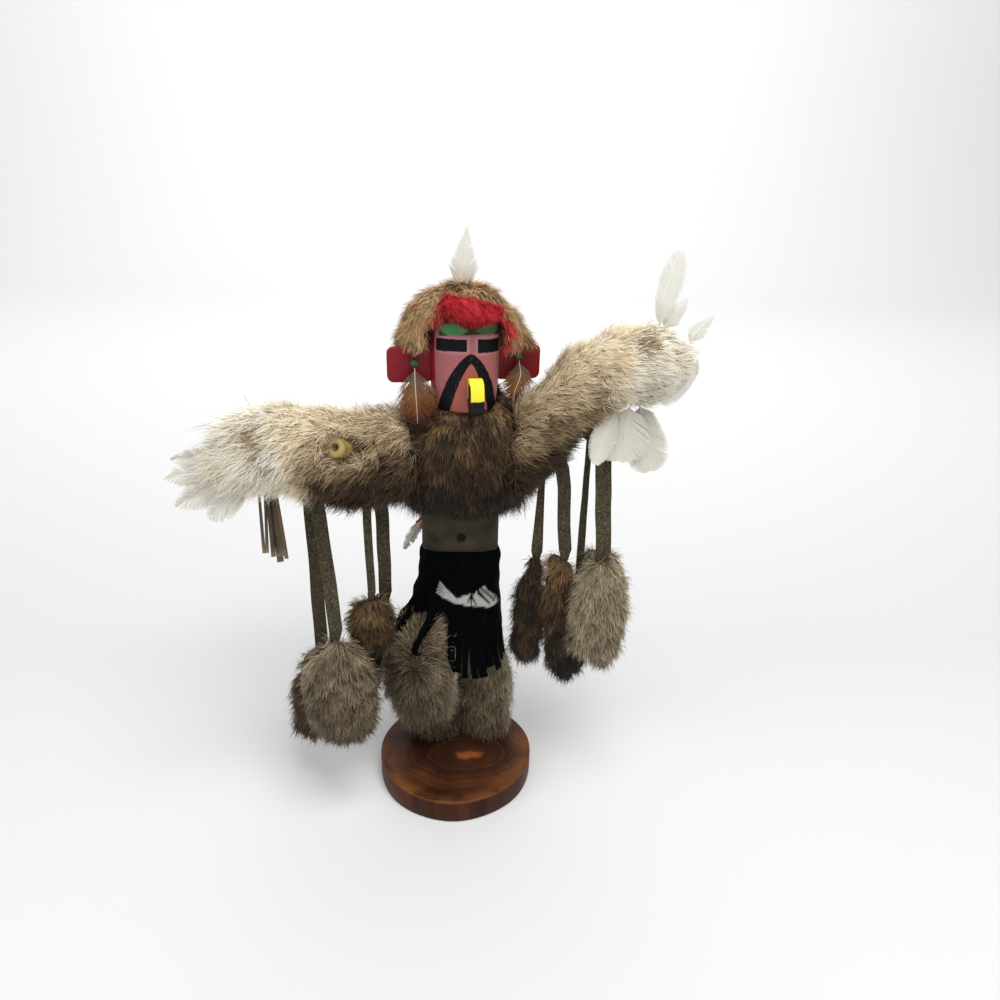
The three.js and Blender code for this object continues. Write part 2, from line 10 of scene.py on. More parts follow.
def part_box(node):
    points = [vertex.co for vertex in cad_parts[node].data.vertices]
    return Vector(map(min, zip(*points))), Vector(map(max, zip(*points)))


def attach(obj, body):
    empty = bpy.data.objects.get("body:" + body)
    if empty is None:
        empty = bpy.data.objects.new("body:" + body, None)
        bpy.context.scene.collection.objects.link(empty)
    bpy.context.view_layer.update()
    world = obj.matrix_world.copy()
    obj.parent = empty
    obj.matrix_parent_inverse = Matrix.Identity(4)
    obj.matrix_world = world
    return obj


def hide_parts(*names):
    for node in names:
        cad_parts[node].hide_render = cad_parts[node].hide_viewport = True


# A winged kachina doll: a carved and painted bird dancer in rabbit fur, black leather and white
# feathers, on a slice of a branch. Left and right are as seen from the front, and sizes are
# millimetres, brought to metres by MM.

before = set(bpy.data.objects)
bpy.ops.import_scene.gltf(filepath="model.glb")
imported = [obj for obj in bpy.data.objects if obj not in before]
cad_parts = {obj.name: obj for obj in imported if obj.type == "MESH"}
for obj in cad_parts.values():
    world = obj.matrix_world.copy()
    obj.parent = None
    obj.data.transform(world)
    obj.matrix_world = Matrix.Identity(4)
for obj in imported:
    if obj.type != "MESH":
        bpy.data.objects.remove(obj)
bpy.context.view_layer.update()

# ---- Camera ----------------------------------------------------------------------------------
# A camera held a little above the doll, 38 cm in front of it, turned slightly to the right,
# looking down and tipped by less than two degrees.
MM = 0.001
EYE = Vector((0, -380.7, 347.6)) * MM
TURN = math.radians(3.38)
DIP = math.radians(23.94)
TIP = math.radians(1.74)
LENS = 28.62

ahead = Vector((math.sin(TURN) * math.cos(DIP), math.cos(TURN) * math.cos(DIP), -math.sin(DIP)))
level = Vector((math.cos(TURN), -math.sin(TURN), 0))
above = level.cross(ahead)
across = level * math.cos(TIP) + above * math.sin(TIP)
upward = above * math.cos(TIP) - level * math.sin(TIP)
camera = bpy.data.objects.new("camera", bpy.data.cameras.new("camera"))
camera.data.lens = LENS
camera.data.clip_start = 0.01
turned_to = Matrix((across, upward, -ahead)).transposed()
camera.matrix_world = Matrix.Translation(EYE) @ turned_to.to_4x4()
bpy.context.collection.objects.link(camera)
bpy.context.scene.camera = camera

# ---- Studio ----------------------------------------------------------------------------------
# A white paper sweep that curves up far behind, under a soft light above and in front and a
# weaker one from the left. A third lights the paper behind.
SWEEP_WIDE = 5.0
SWEEP_FRONT = -2.5
SWEEP_BACK = 1.6
SWEEP_BEND = 0.9
SWEEP_HIGH = 4.0
ROOM_LIGHT = 0.5


def tint(code, alpha=1.0):
    """A colour code as the linear values that a shader takes."""
    parts = [int(code[i:i + 2], 16) / 255 for i in (1, 3, 5)]
    linear = [p / 12.92 if p <= 0.04045 else ((p + 0.055) / 1.055) ** 2.4 for p in parts]
    return (*linear, alpha)


def finish(name, roughness, colour="#808080", **sockets):
    """A material with its even values set on the shader itself, and its node tree."""
    material = bpy.data.materials.new(name)
    material.use_nodes = True
    shader = material.node_tree.nodes["Principled BSDF"]
    shader.inputs["Base Color"].default_value = tint(colour)
    shader.inputs["Roughness"].default_value = roughness
    for socket, value in sockets.items():
        shader.inputs[socket.replace("_", " ").title().replace("Ior", "IOR")].default_value = value
    return material, material.node_tree


def placed(name, mesh, material):
    """The mesh as a piece of its own, with its material, in the scene."""
    mesh.materials.append(material)
    piece = bpy.data.objects.new(name, mesh)
    bpy.context.collection.objects.link(piece)
    return piece


paper, _ = finish("paper", 0.9, "#e2e2e2")
bends = [(SWEEP_BACK + SWEEP_BEND * math.sin(a), SWEEP_BEND * (1 - math.cos(a)))
         for a in np.linspace(0, math.pi / 2, 24)]
profile = [(SWEEP_FRONT, 0.0), *bends, (SWEEP_BACK + SWEEP_BEND, SWEEP_HIGH)]
sweep_mesh = bpy.data.meshes.new("sweep")
sweep_mesh.from_pydata(
    [(x, y, z) for y, z in profile for x in (-SWEEP_WIDE, SWEEP_WIDE)], [],
    [(2 * i, 2 * i + 1, 2 * i + 3, 2 * i + 2) for i in range(len(profile) - 1)])
for strip_face in sweep_mesh.polygons:
    strip_face.use_smooth = True
placed("sweep", sweep_mesh, paper)


def soft_light(name, place, aim, size, power):
    """A square soft box at place, turned to aim."""
    lamp = bpy.data.lights.new(name, "AREA")
    lamp.size = size
    lamp.energy = power
    holder = bpy.data.objects.new(name, lamp)
    holder.location = place
    holder.rotation_euler = (Vector(aim) - Vector(place)).to_track_quat("-Z", "Y").to_euler()
    bpy.context.collection.objects.link(holder)


soft_light("key", (0.2, -0.45, 1.2), (0, 0, 0.15), 0.7, 12)
soft_light("side", (-0.8, -0.5, 0.8), (0, 0, 0.18), 0.6, 1.6)
soft_light("backdrop", (0, 0.35, 2.2), (0, 2.35, 2.0), 2.0, 70)
room = bpy.data.worlds.new("room")
room.use_nodes = True
room.node_tree.nodes["Background"].inputs["Color"].default_value = (1, 1, 1, 1)
room.node_tree.nodes["Background"].inputs["Strength"].default_value = ROOM_LIGHT
bpy.context.scene.world = room
bpy.context.scene.view_settings.view_transform = "Standard"

# ---- Base ------------------------------------------------------------------------------------
# A slice of a branch, sawn across and oiled. Its heart is dark and its rings lie round a pale
# pith; the sapwood is yellow at the front left, and the rim is warm brown under worn bark.
base_low, base_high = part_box("base")
BASE_RADIUS = 45.0
BASE_THICK = (base_high - base_low).z / MM
BASE_EDGE = 1.2  # its edges are rounded to this
BASE_SIDES = 144
PITH = (7.5, -7.1)


def wire(tree, kind, feeds=None, **settings):
    """A new node with its settings, fed by sockets or plain values by input name or number."""
    node = tree.nodes.new(kind)
    for key, value in settings.items():
        setattr(node, key, value)
    for key, feed in (feeds or {}).items():
        if isinstance(feed, bpy.types.NodeSocket):
            tree.links.new(feed, node.inputs[key])
        else:
            node.inputs[key].default_value = feed
    return node


def calc(tree, operation, *feeds):
    """One step of arithmetic."""
    return wire(tree, "ShaderNodeMath", dict(enumerate(feeds)), operation=operation).outputs[0]


def times(tree, one, other):
    """The product of two."""
    return calc(tree, "MULTIPLY", one, other)


def plus(tree, one, other):
    """The sum of two."""
    return calc(tree, "ADD", one, other)


def less(tree, one, other):
    """One with the other taken off."""
    return calc(tree, "SUBTRACT", one, other)


def shifted(tree, where, operation, by):
    """A point with a vector added, taken off or multiplied in."""
    return wire(tree, "ShaderNodeVectorMath", {0: where, 1: by}, operation=operation).outputs[0]


def length_of(tree, where):
    """How long a vector is."""
    return wire(tree, "ShaderNodeVectorMath", {0: where}, operation="LENGTH").outputs["Value"]


def fade(tree, feed, low, high):
    """0 below low and 1 above high, eased between."""
    return wire(tree, "ShaderNodeMapRange", {0: feed, 1: low, 2: high},
                interpolation_type="SMOOTHSTEP").outputs[0]


def layer(tree, share, under, over, blend="MIX"):
    """One colour, a socket or a code, laid over another by a share."""
    under, over = (tint(c) if isinstance(c, str) else c for c in (under, over))
    return wire(tree, "ShaderNodeMix", {0: share, 6: under, 7: over},
                data_type="RGBA", blend_type=blend).outputs[2]


def ramp(tree, feed, *stops):
    """Colours along a run, each stop a place and a colour code."""
    node = wire(tree, "ShaderNodeValToRGB", {0: feed})
    elements = node.color_ramp.elements
    while len(elements) < len(stops):
        elements.new(0.5)
    for element, (place, code) in zip(elements, stops):
        element.position = place
        element.color = tint(code)
    return node.outputs[0]


def speckle(tree, where, scale, detail=4.0, rough=0.55, stretch=None):
    """Cloudy noise from 0 to 1, its scale in patches to the metre."""
    if stretch:
        where = shifted(tree, where, "MULTIPLY", stretch)
    return wire(tree, "ShaderNodeTexNoise",
                {"Vector": where, "Scale": scale, "Detail": detail, "Roughness": rough}).outputs[0]


def place_of(tree):
    """The point on the piece, in its own frame."""
    return wire(tree, "ShaderNodeTexCoord").outputs["Object"]


def paint(tree, colour=None, roughness=None, height=None, depth=0.3, strength=1.0):
    """Joins a colour, a roughness and a relief of that depth in millimetres to the shader."""
    shader = tree.nodes["Principled BSDF"]
    if colour is not None:
        tree.links.new(colour, shader.inputs["Base Color"])
    if roughness is not None:
        tree.links.new(roughness, shader.inputs["Roughness"])
    if height is not None:
        bump = wire(tree, "ShaderNodeBump", {"Height": height, "Distance": depth * MM,
                                              "Strength": strength})
        tree.links.new(bump.outputs[0], shader.inputs["Normal"])


def mesh_piece(name, points, faces, spots, material):
    """A piece from points in millimetres, its faces, and a spot on its own map for each corner."""
    mesh = bpy.data.meshes.new(name)
    mesh.from_pydata([tuple(p) for p in np.asarray(points) * MM], [], faces)
    chart = mesh.uv_layers.new(name="OFBake")
    chart.data.foreach_set("uv", np.asarray(spots, float).ravel())
    mesh.polygons.foreach_set("use_smooth", [True] * len(mesh.polygons))
    return placed(name, mesh, material)


def dress(piece, slot, *nodes):
    """The piece rides with the doll and stands for these solids; slot is not used."""
    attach(piece, "root")
    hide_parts(*nodes)
    return piece


def rings_piece(name, rings, material):
    """Quads between closed rings of points, bottom ring first, with a fan at each end."""
    rings = np.asarray(rings, float)
    count, sides = rings.shape[:2]
    points = list(rings.reshape(-1, 3))
    run = np.linalg.norm(np.diff(rings, axis=0), axis=2).mean(1)
    first = np.linalg.norm(rings[0] - rings[0].mean(0), axis=1).mean()
    last = np.linalg.norm(rings[-1] - rings[-1].mean(0), axis=1).mean()
    heights = first + np.concatenate([[0], np.cumsum(run)])
    heights /= heights[-1] + last
    faces, spots = [], []
    for i in range(count - 1):
        for j in range(sides):
            k = (j + 1) % sides
            faces.append((i * sides + j, i * sides + k, (i + 1) * sides + k, (i + 1) * sides + j))
            left, right = j / sides, (j + 1) / sides
            spots += [(left, heights[i]), (right, heights[i]),
                      (right, heights[i + 1]), (left, heights[i + 1])]
    for end, ring, edge in ((0, 0, heights[0]), (1, (count - 1) * sides, heights[-1])):
        points.append(rings[-end].mean(0))
        for j in range(sides):
            k = (j + 1) % sides
            pair = (ring + j, ring + k) if end else (ring + k, ring + j)
            faces.append((*pair, len(points) - 1))
            ends = [(j / sides, edge), ((j + 1) / sides, edge)]
            spots += (ends if end else ends[::-1]) + [((j + 0.5) / sides, float(end))]
    return mesh_piece(name, points, faces, spots, material)


oiled, tree = finish("oiled_wood", 0.5, specular_ior_level=0.14)
spot = place_of(tree)
warp = speckle(tree, spot, 26, 3)
from_pith = shifted(tree, spot, "SUBTRACT", (PITH[0] * MM, PITH[1] * MM, 0))
ring_reach = length_of(tree, shifted(tree, from_pith, "MULTIPLY", (0.8, 1.25, 0)))
ring_reach = plus(tree, ring_reach, times(tree, warp, 0.022))
fine_rings, broad_rings = (
    wire(tree, "ShaderNodeTexNoise", {"W": ring_reach, "Scale": scale, "Detail": detail},
         noise_dimensions="1D").outputs[0] for scale, detail in ((480, 3), (110, 2)))
patches = speckle(tree, spot, 45, 4, 0.6)
figure = plus(tree, times(tree, broad_rings, 0.45),
              plus(tree, times(tree, fine_rings, 0.2), times(tree, patches, 0.35)))
heart = ramp(tree, figure, (0.36, "#24130c"), (0.46, "#351d12"), (0.54, "#462716"),
             (0.66, "#633a1c"))
x_at, y_at, z_at = wire(tree, "ShaderNodeSeparateXYZ", {0: spot}).outputs
true_reach = length_of(tree, shifted(tree, spot, "MULTIPLY", (1, 1, 0)))
edge_warm = times(tree, fade(tree, true_reach, 0.033, 0.0435),
                  fade(tree, speckle(tree, spot, 50, 3), 0.35, 0.65))
heart = layer(tree, times(tree, edge_warm, 0.55), heart, "#7d4a24")
sap = times(tree, fade(tree, true_reach, 0.038, 0.0425),
            fade(tree, plus(tree, x_at, y_at), -0.035, -0.05))
sap = times(tree, sap, fade(tree, fine_rings, 0.4, 0.6))
heart = layer(tree, times(tree, sap, 0.25), heart, "#7d572a")
near_pith = length_of(tree, shifted(tree, from_pith, "MULTIPLY", (0.7, 1.5, 0)))
near_pith = plus(tree, near_pith, times(tree, speckle(tree, spot, 160, 4), 0.012))
heart = layer(tree, times(tree, fade(tree, near_pith, 0.0125, 0.0085), 0.8), heart,
              layer(tree, speckle(tree, spot, 300, 3), "#6d3417", "#b0662f"))
streaks = speckle(tree, spot, 90, 5, 0.65, (1, 1, 0.14))
rim = ramp(tree, streaks, (0.3, "#220f07"), (0.5, "#3d1d0c"), (0.72, "#562b12"))
on_side = fade(tree, z_at, (BASE_THICK - 0.4) * MM, (BASE_THICK - 0.9) * MM)
wood = layer(tree, on_side, heart, rim)
# A paler brown round the rounded top edge: a painted highlight.
arris = times(tree, fade(tree, true_reach, 0.0436, 0.0444),
              fade(tree, z_at, (BASE_THICK - 1.6) * MM, (BASE_THICK - 0.7) * MM))
wood = layer(tree, times(tree, arris, 0.4), wood, "#6b3d1d")
paint(tree, wood, wire(tree, "ShaderNodeMapRange", {0: patches, 3: 0.34, 4: 0.6}).outputs[0],
      fine_rings, 0.1, 0.5)

profile = [(BASE_RADIUS - BASE_EDGE * (1 - math.sin(a)), BASE_EDGE * (1 - math.cos(a)))
           for a in np.linspace(0, math.pi / 2, 5)]
profile += [(r, BASE_THICK - z) for r, z in reversed(profile)]
profile += [(BASE_RADIUS * share, BASE_THICK) for share in (0.85, 0.65, 0.4, 0.15)]
turns = np.linspace(0, 2 * math.pi, BASE_SIDES, endpoint=False)
bark = 1 + 0.006 * np.sin(3 * turns + 1) + 0.004 * np.sin(7 * turns)
base = rings_piece("base_slice", [
    np.stack([r * bark * np.cos(turns), r * bark * np.sin(turns), np.full(BASE_SIDES, z)], 1)
    for r, z in profile], oiled)
dress(base, "oiled_wood", "base")

# ---- Leggings --------------------------------------------------------------------------------
# Rabbit pelt wrapped round both legs with the hair outwards, the left knee lifted forwards. The
# hair is grey at the skin, banded brown and tan, with pale tips.
HAIR_TONES = 48  # shades across a coat's own map
SKIN_CELL = 2.1  # spacing of the skin under the hair
SHORT_SHARE = 0.4  # share of hairs that end early
HAIR_STEPS = 2  # bends in a hair
SPARE = 1.25  # roots tried for each hair wanted, as some fall on bare places
THICK = 1.0


def pelt_finish(name, *shades):
    """Fur coloured from root to tip. Each shade is a tone from 0 to 1 with its three colours."""
    material, tree = finish(name, 0.65, specular_ior_level=0.2, sheen_weight=0.07,
                            sheen_roughness=0.5)
    chart = wire(tree, "ShaderNodeUVMap", uv_map="OFBake").outputs[0]
    tone, along = wire(tree, "ShaderNodeSeparateXYZ", {0: chart}).outputs[:2]
    root, middle, tip = (ramp(tree, tone, *((shade[0], shade[part]) for shade in shades))
                         for part in (1, 2, 3))
    colour = layer(tree, fade(tree, along, 0.05, 0.5), root, middle)
    paint(tree, layer(tree, fade(tree, along, 0.55, 0.92), colour, tip))
    return material


def drift(places, size, seed):
    """A slow random swell over the surface, about -1 to 1, its hills that many mm across."""
    luck = np.random.default_rng(seed)
    ways = luck.normal(size=(8, 3))
    ways *= 2 * math.pi / size * luck.uniform(0.6, 1.5, (8, 1)) / np.linalg.norm(
        ways, axis=1, keepdims=True)
    return np.sin(places @ ways.T + luck.uniform(0, 2 * math.pi, 8)).sum(1) / 3


def unit(vectors):
    """The same directions, a unit long."""
    return vectors / np.maximum(np.linalg.norm(vectors, axis=-1, keepdims=True), 1e-9)


def wall_of(node):
    """The surface of a solid, to measure from."""
    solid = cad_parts[node].data
    return BVHTree.FromPolygons([v.co for v in solid.vertices],
                                [p.vertices for p in solid.polygons])


def scattered(corners, count, luck):
    """Random spots spread evenly over triangles: the one each is on, and its mix of corners."""
    areas = np.linalg.norm(np.cross(corners[:, 1] - corners[:, 0], corners[:, 2] - corners[:, 0]),
                           axis=1)
    pick = luck.choice(len(corners), count, p=areas / areas.sum())
    return pick, luck.dirichlet((1, 1, 1), count)[:, :, None]


def skin_of(node, depth, lumps, seed):
    """The pelt under the hair: the solid's form, evened, rounded and drawn in by depth."""
    block = bpy.data.objects.new("skin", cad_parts[node].data.copy())
    bpy.context.collection.objects.link(block)
    even = block.modifiers.new("even", "REMESH")
    even.mode = "VOXEL"
    even.voxel_size = SKIN_CELL * MM
    soft = block.modifiers.new("soft", "SMOOTH")
    soft.iterations = 8
    soft.factor = 0.6
    bpy.context.view_layer.update()
    mesh = block.evaluated_get(bpy.context.evaluated_depsgraph_get()).to_mesh()
    mesh.calc_loop_triangles()
    points = np.empty(len(mesh.vertices) * 3)
    mesh.vertices.foreach_get("co", points)
    normals = np.empty(len(mesh.vertices) * 3)
    mesh.vertices.foreach_get("normal", normals)
    triangles = np.empty(len(mesh.loop_triangles) * 3, int)
    mesh.loop_triangles.foreach_get("vertices", triangles)
    bpy.data.objects.remove(block)
    points = points.reshape(-1, 3) / MM
    normals = normals.reshape(-1, 3)
    points += normals * (lumps * drift(points, 16, seed) - depth)[:, None]
    return points, normals, triangles.reshape(-1, 3)


def coat(name, node, slot, fur, hairs, reach, tone_at, comb_at, seed, rise, clump, gather,
         depth=2.6, lumps=0.5, stray=0.26, sag=0.2, wide=0.25, touching=(), reach_at=None,
         bare_at=None, form=None):
    """A haired pelt. hairs is their number and reach their length; tone_at and comb_at give the
    shade and the lay at a point; rise is how far they stand off the skin; clump, gather and stray
    set how they lock together; none grows where the piece touches its neighbours. form shifts
    the skin where the pelt is pulled in."""
    luck = np.random.default_rng(seed)
    skin, normals, triangles = skin_of(node, depth, lumps, seed)
    if form is not None:
        skin = skin + form(skin)
    pick, mix = scattered(skin[triangles], int(hairs * SPARE), luck)
    roots = (skin[triangles[pick]] * mix).sum(1)
    outward = unit((normals[triangles[pick]] * mix).sum(1))
    keep = np.ones(len(roots), bool)
    for other in touching:
        wall = wall_of(other)
        near = (roots + outward * depth) * MM
        keep &= np.array([wall.find_nearest(Vector(p), 0.7 * MM)[0] is None for p in near])
    if bare_at is not None:
        keep &= ~bare_at(roots)
    roots, outward = roots[keep][:hairs], outward[keep][:hairs]
    count = len(roots)
    warp = np.stack([drift(roots, 3 * clump, seed + k) for k in (1, 2, 3)], 1) * clump * 0.7
    cells = np.floor((roots + warp) / clump).astype(int)
    _, lock = np.unique(cells, axis=0, return_inverse=True)
    lock = lock.ravel()
    locks = lock.max() + 1
    members = np.bincount(lock, minlength=locks)[:, None]
    lay = comb_at(roots, outward)
    if callable(rise):
        rise = rise(roots)[:, None]
    lay = unit(lay - (lay * outward).sum(1, keepdims=True) * outward)
    lock_way = luck.normal(0, 0.75 * stray, (locks, 3))[lock]
    first = unit(rise * outward + (1 - rise) * lay + lock_way
                 + luck.normal(0, 0.75 * stray, (count, 3)))
    last = unit(0.35 * rise * outward + 1.7 * (1 - rise) * lay + 0.7 * lock_way
                + luck.normal(0, stray, (count, 3)) - (0, 0, sag))
    length = reach * luck.uniform(0.7, 1.15, count) * luck.uniform(0.75, 1.2, locks)[lock]
    length *= np.where(luck.random(count) < SHORT_SHARE, luck.uniform(0.4, 0.75, count), 1)
    if reach_at is not None:
        length *= reach_at(roots)
    path = [roots]
    for i in range(HAIR_STEPS):
        share = (i + 0.5) / HAIR_STEPS
        path.append(path[-1] + unit(first * (1 - share) + last * share)
                    * length[:, None] / HAIR_STEPS)
    path = np.stack(path, 1)
    centre = np.stack([np.bincount(lock, path[:, i, k], locks) for i in range(HAIR_STEPS + 1)
                       for k in range(3)], 1).reshape(locks, -1, 3) / members[:, :, None]
    pull = gather * (np.arange(HAIR_STEPS + 1) / HAIR_STEPS) ** 1.3
    pull = pull * luck.uniform(0.5, 1.2, (count, 1))
    path += (centre[lock] - path) * pull[:, :, None]
    tone = tone_at(roots, outward) + 0.035 * luck.normal(size=locks)[lock]
    tone = np.clip(tone + 0.06 * luck.normal(size=count), 0, 0.999)
    column = np.floor(tone * HAIR_TONES)
    spin = luck.normal(0, 0.3, (count, 1))
    flat_way = unit(np.cross(path[:, 2] - path[:, 0], outward))
    side = unit(flat_way * np.cos(spin) + outward * np.sin(spin))
    half = 0.5 * wide * luck.uniform(0.7, 1.3, (count, 1))
    points, map_spots = [], []
    margin = 0.15
    for i, taper in enumerate((0.9, 1.0)):
        for sign, edge in ((-1, margin), (1, 1 - margin)):
            points.append(path[:, i] + side * half * taper * sign)
            map_spots.append(np.stack([(column + edge) / HAIR_TONES,
                                       np.full(count, 0.28 + 0.7 * i / HAIR_STEPS)], 1))
    points.append(path[:, -1])
    bristle = len(points)
    map_spots.append(np.stack([(column + 0.5) / HAIR_TONES, np.full(count, 0.98)], 1))
    points = np.stack(points, 1).reshape(-1, 3)
    map_spots = np.stack(map_spots, 1).reshape(-1, 2)
    blade = np.array([(0, 1, 3), (0, 3, 2), (2, 3, 4)])
    blades = (np.arange(count)[:, None, None] * bristle + blade).reshape(-1, 3)
    skin_tone = np.clip(tone_at(skin, normals)[triangles].mean(1) - 0.04, 0, 0.999)
    skin_column = np.floor(skin_tone * HAIR_TONES)
    skin_spots = np.stack([
        np.stack([(skin_column + edge) / HAIR_TONES, np.full(len(triangles), low_on_map)], 1)
        for edge, low_on_map in ((0.1, 0.12), (0.9, 0.12), (0.5, 0.24))], 1)
    all_points = np.concatenate([skin, points])
    all_faces = np.concatenate([triangles, blades + len(skin)])
    all_spots = np.concatenate([skin_spots.reshape(-1, 2), map_spots[blades.ravel()]])
    mesh = bpy.data.meshes.new(name)
    mesh.vertices.add(len(all_points))
    mesh.vertices.foreach_set("co", (all_points * MM).ravel())
    mesh.loops.add(all_faces.size)
    mesh.loops.foreach_set("vertex_index", all_faces.ravel())
    mesh.polygons.add(len(all_faces))
    mesh.polygons.foreach_set("loop_start", np.arange(0, all_faces.size, 3))
    mesh.polygons.foreach_set("use_smooth", np.ones(len(all_faces), bool))
    chart = mesh.uv_layers.new(name="OFBake")
    chart.data.foreach_set("uv", all_spots.ravel())
    mesh.update(calc_edges=True)
    own_normals = np.empty(len(mesh.vertices) * 3)
    mesh.vertices.foreach_get("normal", own_normals)
    own_normals = own_normals.reshape(-1, 3)
    hair_normals = own_normals[len(skin):]
    off_skin = np.repeat(outward, bristle, 0)
    facing = np.sign((hair_normals * off_skin).sum(1, keepdims=True))
    own_normals[len(skin):] = unit(off_skin + 0.5 * hair_normals * facing)
    mesh.normals_split_custom_set_from_vertices(own_normals)
    return dress(placed(name, mesh, fur), slot, node)


grey_pelt = pelt_finish(
    "grey_pelt", (0.0, "#150f09", "#2b2115", "#453929"), (0.35, "#2a2115", "#5d4f3b", "#94866c"),
    (0.65, "#453927", "#8f7f63", "#c8baa0"), (1.0, "#6d6048", "#b9ac93", "#efe7d8"))


def down_and(lean):
    """A lay that runs down, with a lean given as a vector."""
    return lambda places, out: np.tile((lean[0], lean[1], lean[2] - 1.0), (len(places), 1))


KNEE = np.array((-23.0, -21.0, 84.0))


def legging_tone(places, out):
    """Painted light and shade: paler where the hair faces right and above the knee, darker where
    it faces the front and low on the left leg, where the kilt shades it.
    """
    return (0.27 + 0.1 * drift(places, 17, 5) + 0.07 * drift(places, 6, 6)
            + 0.24 * np.clip(out[:, 0], 0, 1) - 0.08 * np.clip(-out[:, 1], 0, 1)
            - 0.14 * np.clip((45 - places[:, 2]) / 30, 0, 1) * (places[:, 0] < 0)
            + 0.12 * np.clip((places[:, 2] - 84) / 15, 0, 1))


def knee_lay(places, out):
    """Hair that rays out from the lifted knee."""
    return unit(places - KNEE) * 0.8 + np.array((0, 0, -0.5))


def under_kilt(places):
    """Where the leather lies flat over the pelt: all but the front of the knee."""
    x, y, z = places.T
    return (z > 126) | (z > 100) & (x > -5.5) | (z > 112) & (y > -13) | (z > 106) & (y > -6)


coat("leg_left_fur", "leg_left", "grey_fur", grey_pelt, int(17000 * THICK), 8.5, legging_tone,
     knee_lay, 11, rise=0.44, touching=("base", "body"), lumps=1.0, stray=0.32, depth=0.9,
     clump=1.4, gather=0.12, bare_at=under_kilt)
coat("leg_right_fur", "leg_right", "grey_fur", grey_pelt, int(11000 * THICK), 7.5,
     lambda p, n: legging_tone(p, n) + 0.1, down_and((0.15, 0, 0)), 12, rise=0.38, depth=0.9,
     clump=1.4, gather=0.12, touching=("kilt", "base", "body"))

# ---- Waist -----------------------------------------------------------------------------------
# The carved body between vest and kilt: an oval post of soft wood under old cream paint, coloured
# dark all over as painted shade from the vest above it, with one dark dot brushed on. The kilt
# and the vest are wrapped round it.
BODY = (1.8, 6.0, 20.6, 15.0)  # middle x and y, half width, half depth
DOT_AT = (2.4, -8.9, 160.5)
BODY_LOW = 104.0
BODY_HIGH = 192.0
SQUARE = 2.2  # 2 is an ellipse, more is fuller at the corners


def oval(middle_x, middle_y, wide, deep, height):
    """A level ring of points, fuller than an ellipse at its corners."""
    around = np.linspace(0, 2 * math.pi, 72, endpoint=False) - math.pi / 2
    cos, sin = np.cos(around), np.sin(around)
    return np.stack([middle_x + wide * np.sign(cos) * np.abs(cos) ** (2 / SQUARE),
                     middle_y + deep * np.sign(sin) * np.abs(sin) ** (2 / SQUARE),
                     np.full(len(around), float(height))], 1)


shaded_cream_paint, tree = finish("body_paint", 0.75, specular_ior_level=0.15)
spot = place_of(tree)
worn = speckle(tree, spot, 90, 4)
# The paint's colours are dark: painted shade where the vest overhangs the waist.
shaded_body_colour = ramp(tree, worn, (0.3, "#2c281c"), (0.5, "#3c3729"), (0.75, "#4b4534"))
dot = length_of(tree, shifted(tree, spot, "SUBTRACT", Vector(DOT_AT) * MM))
shaded_body_colour = layer(tree, fade(tree, dot, 0.003, 0.002), shaded_body_colour, "#0b160e")
paint(tree, shaded_body_colour, None, speckle(tree, spot, 420, 3), 0.15)
waist = rings_piece("waist", [oval(*BODY, z) for z in np.linspace(BODY_LOW, BODY_HIGH, 14)], shaded_cream_paint)
dress(waist, "body_paint", "body")

# ---- Kilt ------------------------------------------------------------------------------------
# Black glove leather wrapped round the hips, its hem cut into fringe that hangs over the legs,
# and a white feather painted on the front.
KILT_TOP = 148.6
KILT_HEM = 104.0
KILT_THICK = 1.1
KILT_ROWS = 40
FRINGE_END = 77.0
FRINGE_ROWS = 10
STRIP_WIDE = 5.2
THIGH_AT = -136  # degrees round, where the lifted thigh comes out
THIGH_HALF = 38
HEM_LIFT = 13  # how much higher the slits and the fringe end over it
FRINGE_LIFT = 22
THIGH_BACK = 195  # degrees round, where the wrap clears the thigh behind
OUTSIDE = 90  # a reach that is well clear of the hips


def surface_from_outside(node, around, heights, centre):
    """How far out the node's solid reaches at each height and angle, with its gaps bridged."""
    wall = wall_of(node)
    reach = np.full((len(heights), len(around)), np.nan)
    for i, height in enumerate(heights):
        for j, angle in enumerate(around):
            way = Vector((math.cos(angle), math.sin(angle), 0))
            start = Vector((*centre, height)) * MM + way * OUTSIDE * MM
            hit = wall.ray_cast(start, -way, OUTSIDE * MM)[0]
            if hit:
                reach[i, j] = OUTSIDE - (hit - start).length / MM
    for row in reach:
        gaps = np.isnan(row)
        if gaps.all():
            continue
        known = np.flatnonzero(~gaps)
        row[gaps] = np.interp(np.flatnonzero(gaps), known, row[known], period=len(row))
    for i in range(1, len(reach)):
        if np.isnan(reach[i]).any():
            reach[i] = reach[i - 1]
    return reach


def even_out(rows, passes):
    """Neighbours averaged round each ring, and up and down it."""
    for _ in range(passes):
        rows = 0.5 * rows + 0.25 * (np.roll(rows, 1, 1) + np.roll(rows, -1, 1))
        rows[1:-1] = 0.5 * rows[1:-1] + 0.25 * (rows[:-2] + rows[2:])
    return rows


def inside(spots, outline):
    """How far each spot lies inside a closed outline, below 0 outside it."""
    spots = np.asarray(spots, float)
    outline = np.asarray(outline, float)
    following = np.roll(outline, -1, 0)
    nearest = np.full(len(spots), 1e9)
    within = np.zeros(len(spots), bool)
    for here, there in zip(outline, following):
        run = there - here
        share = np.clip(((spots - here) @ run) / (run @ run), 0, 1)
        nearest = np.minimum(nearest, np.linalg.norm(spots - here - share[:, None] * run, axis=1))
        crosses = (here[1] > spots[:, 1]) != (there[1] > spots[:, 1])
        meets = here[0] + (spots[:, 1] - here[1]) * run[0] / (run[1] if run[1] else 1e-9)
        within ^= crosses & (spots[:, 0] < meets)
    return np.where(within, nearest, -nearest)


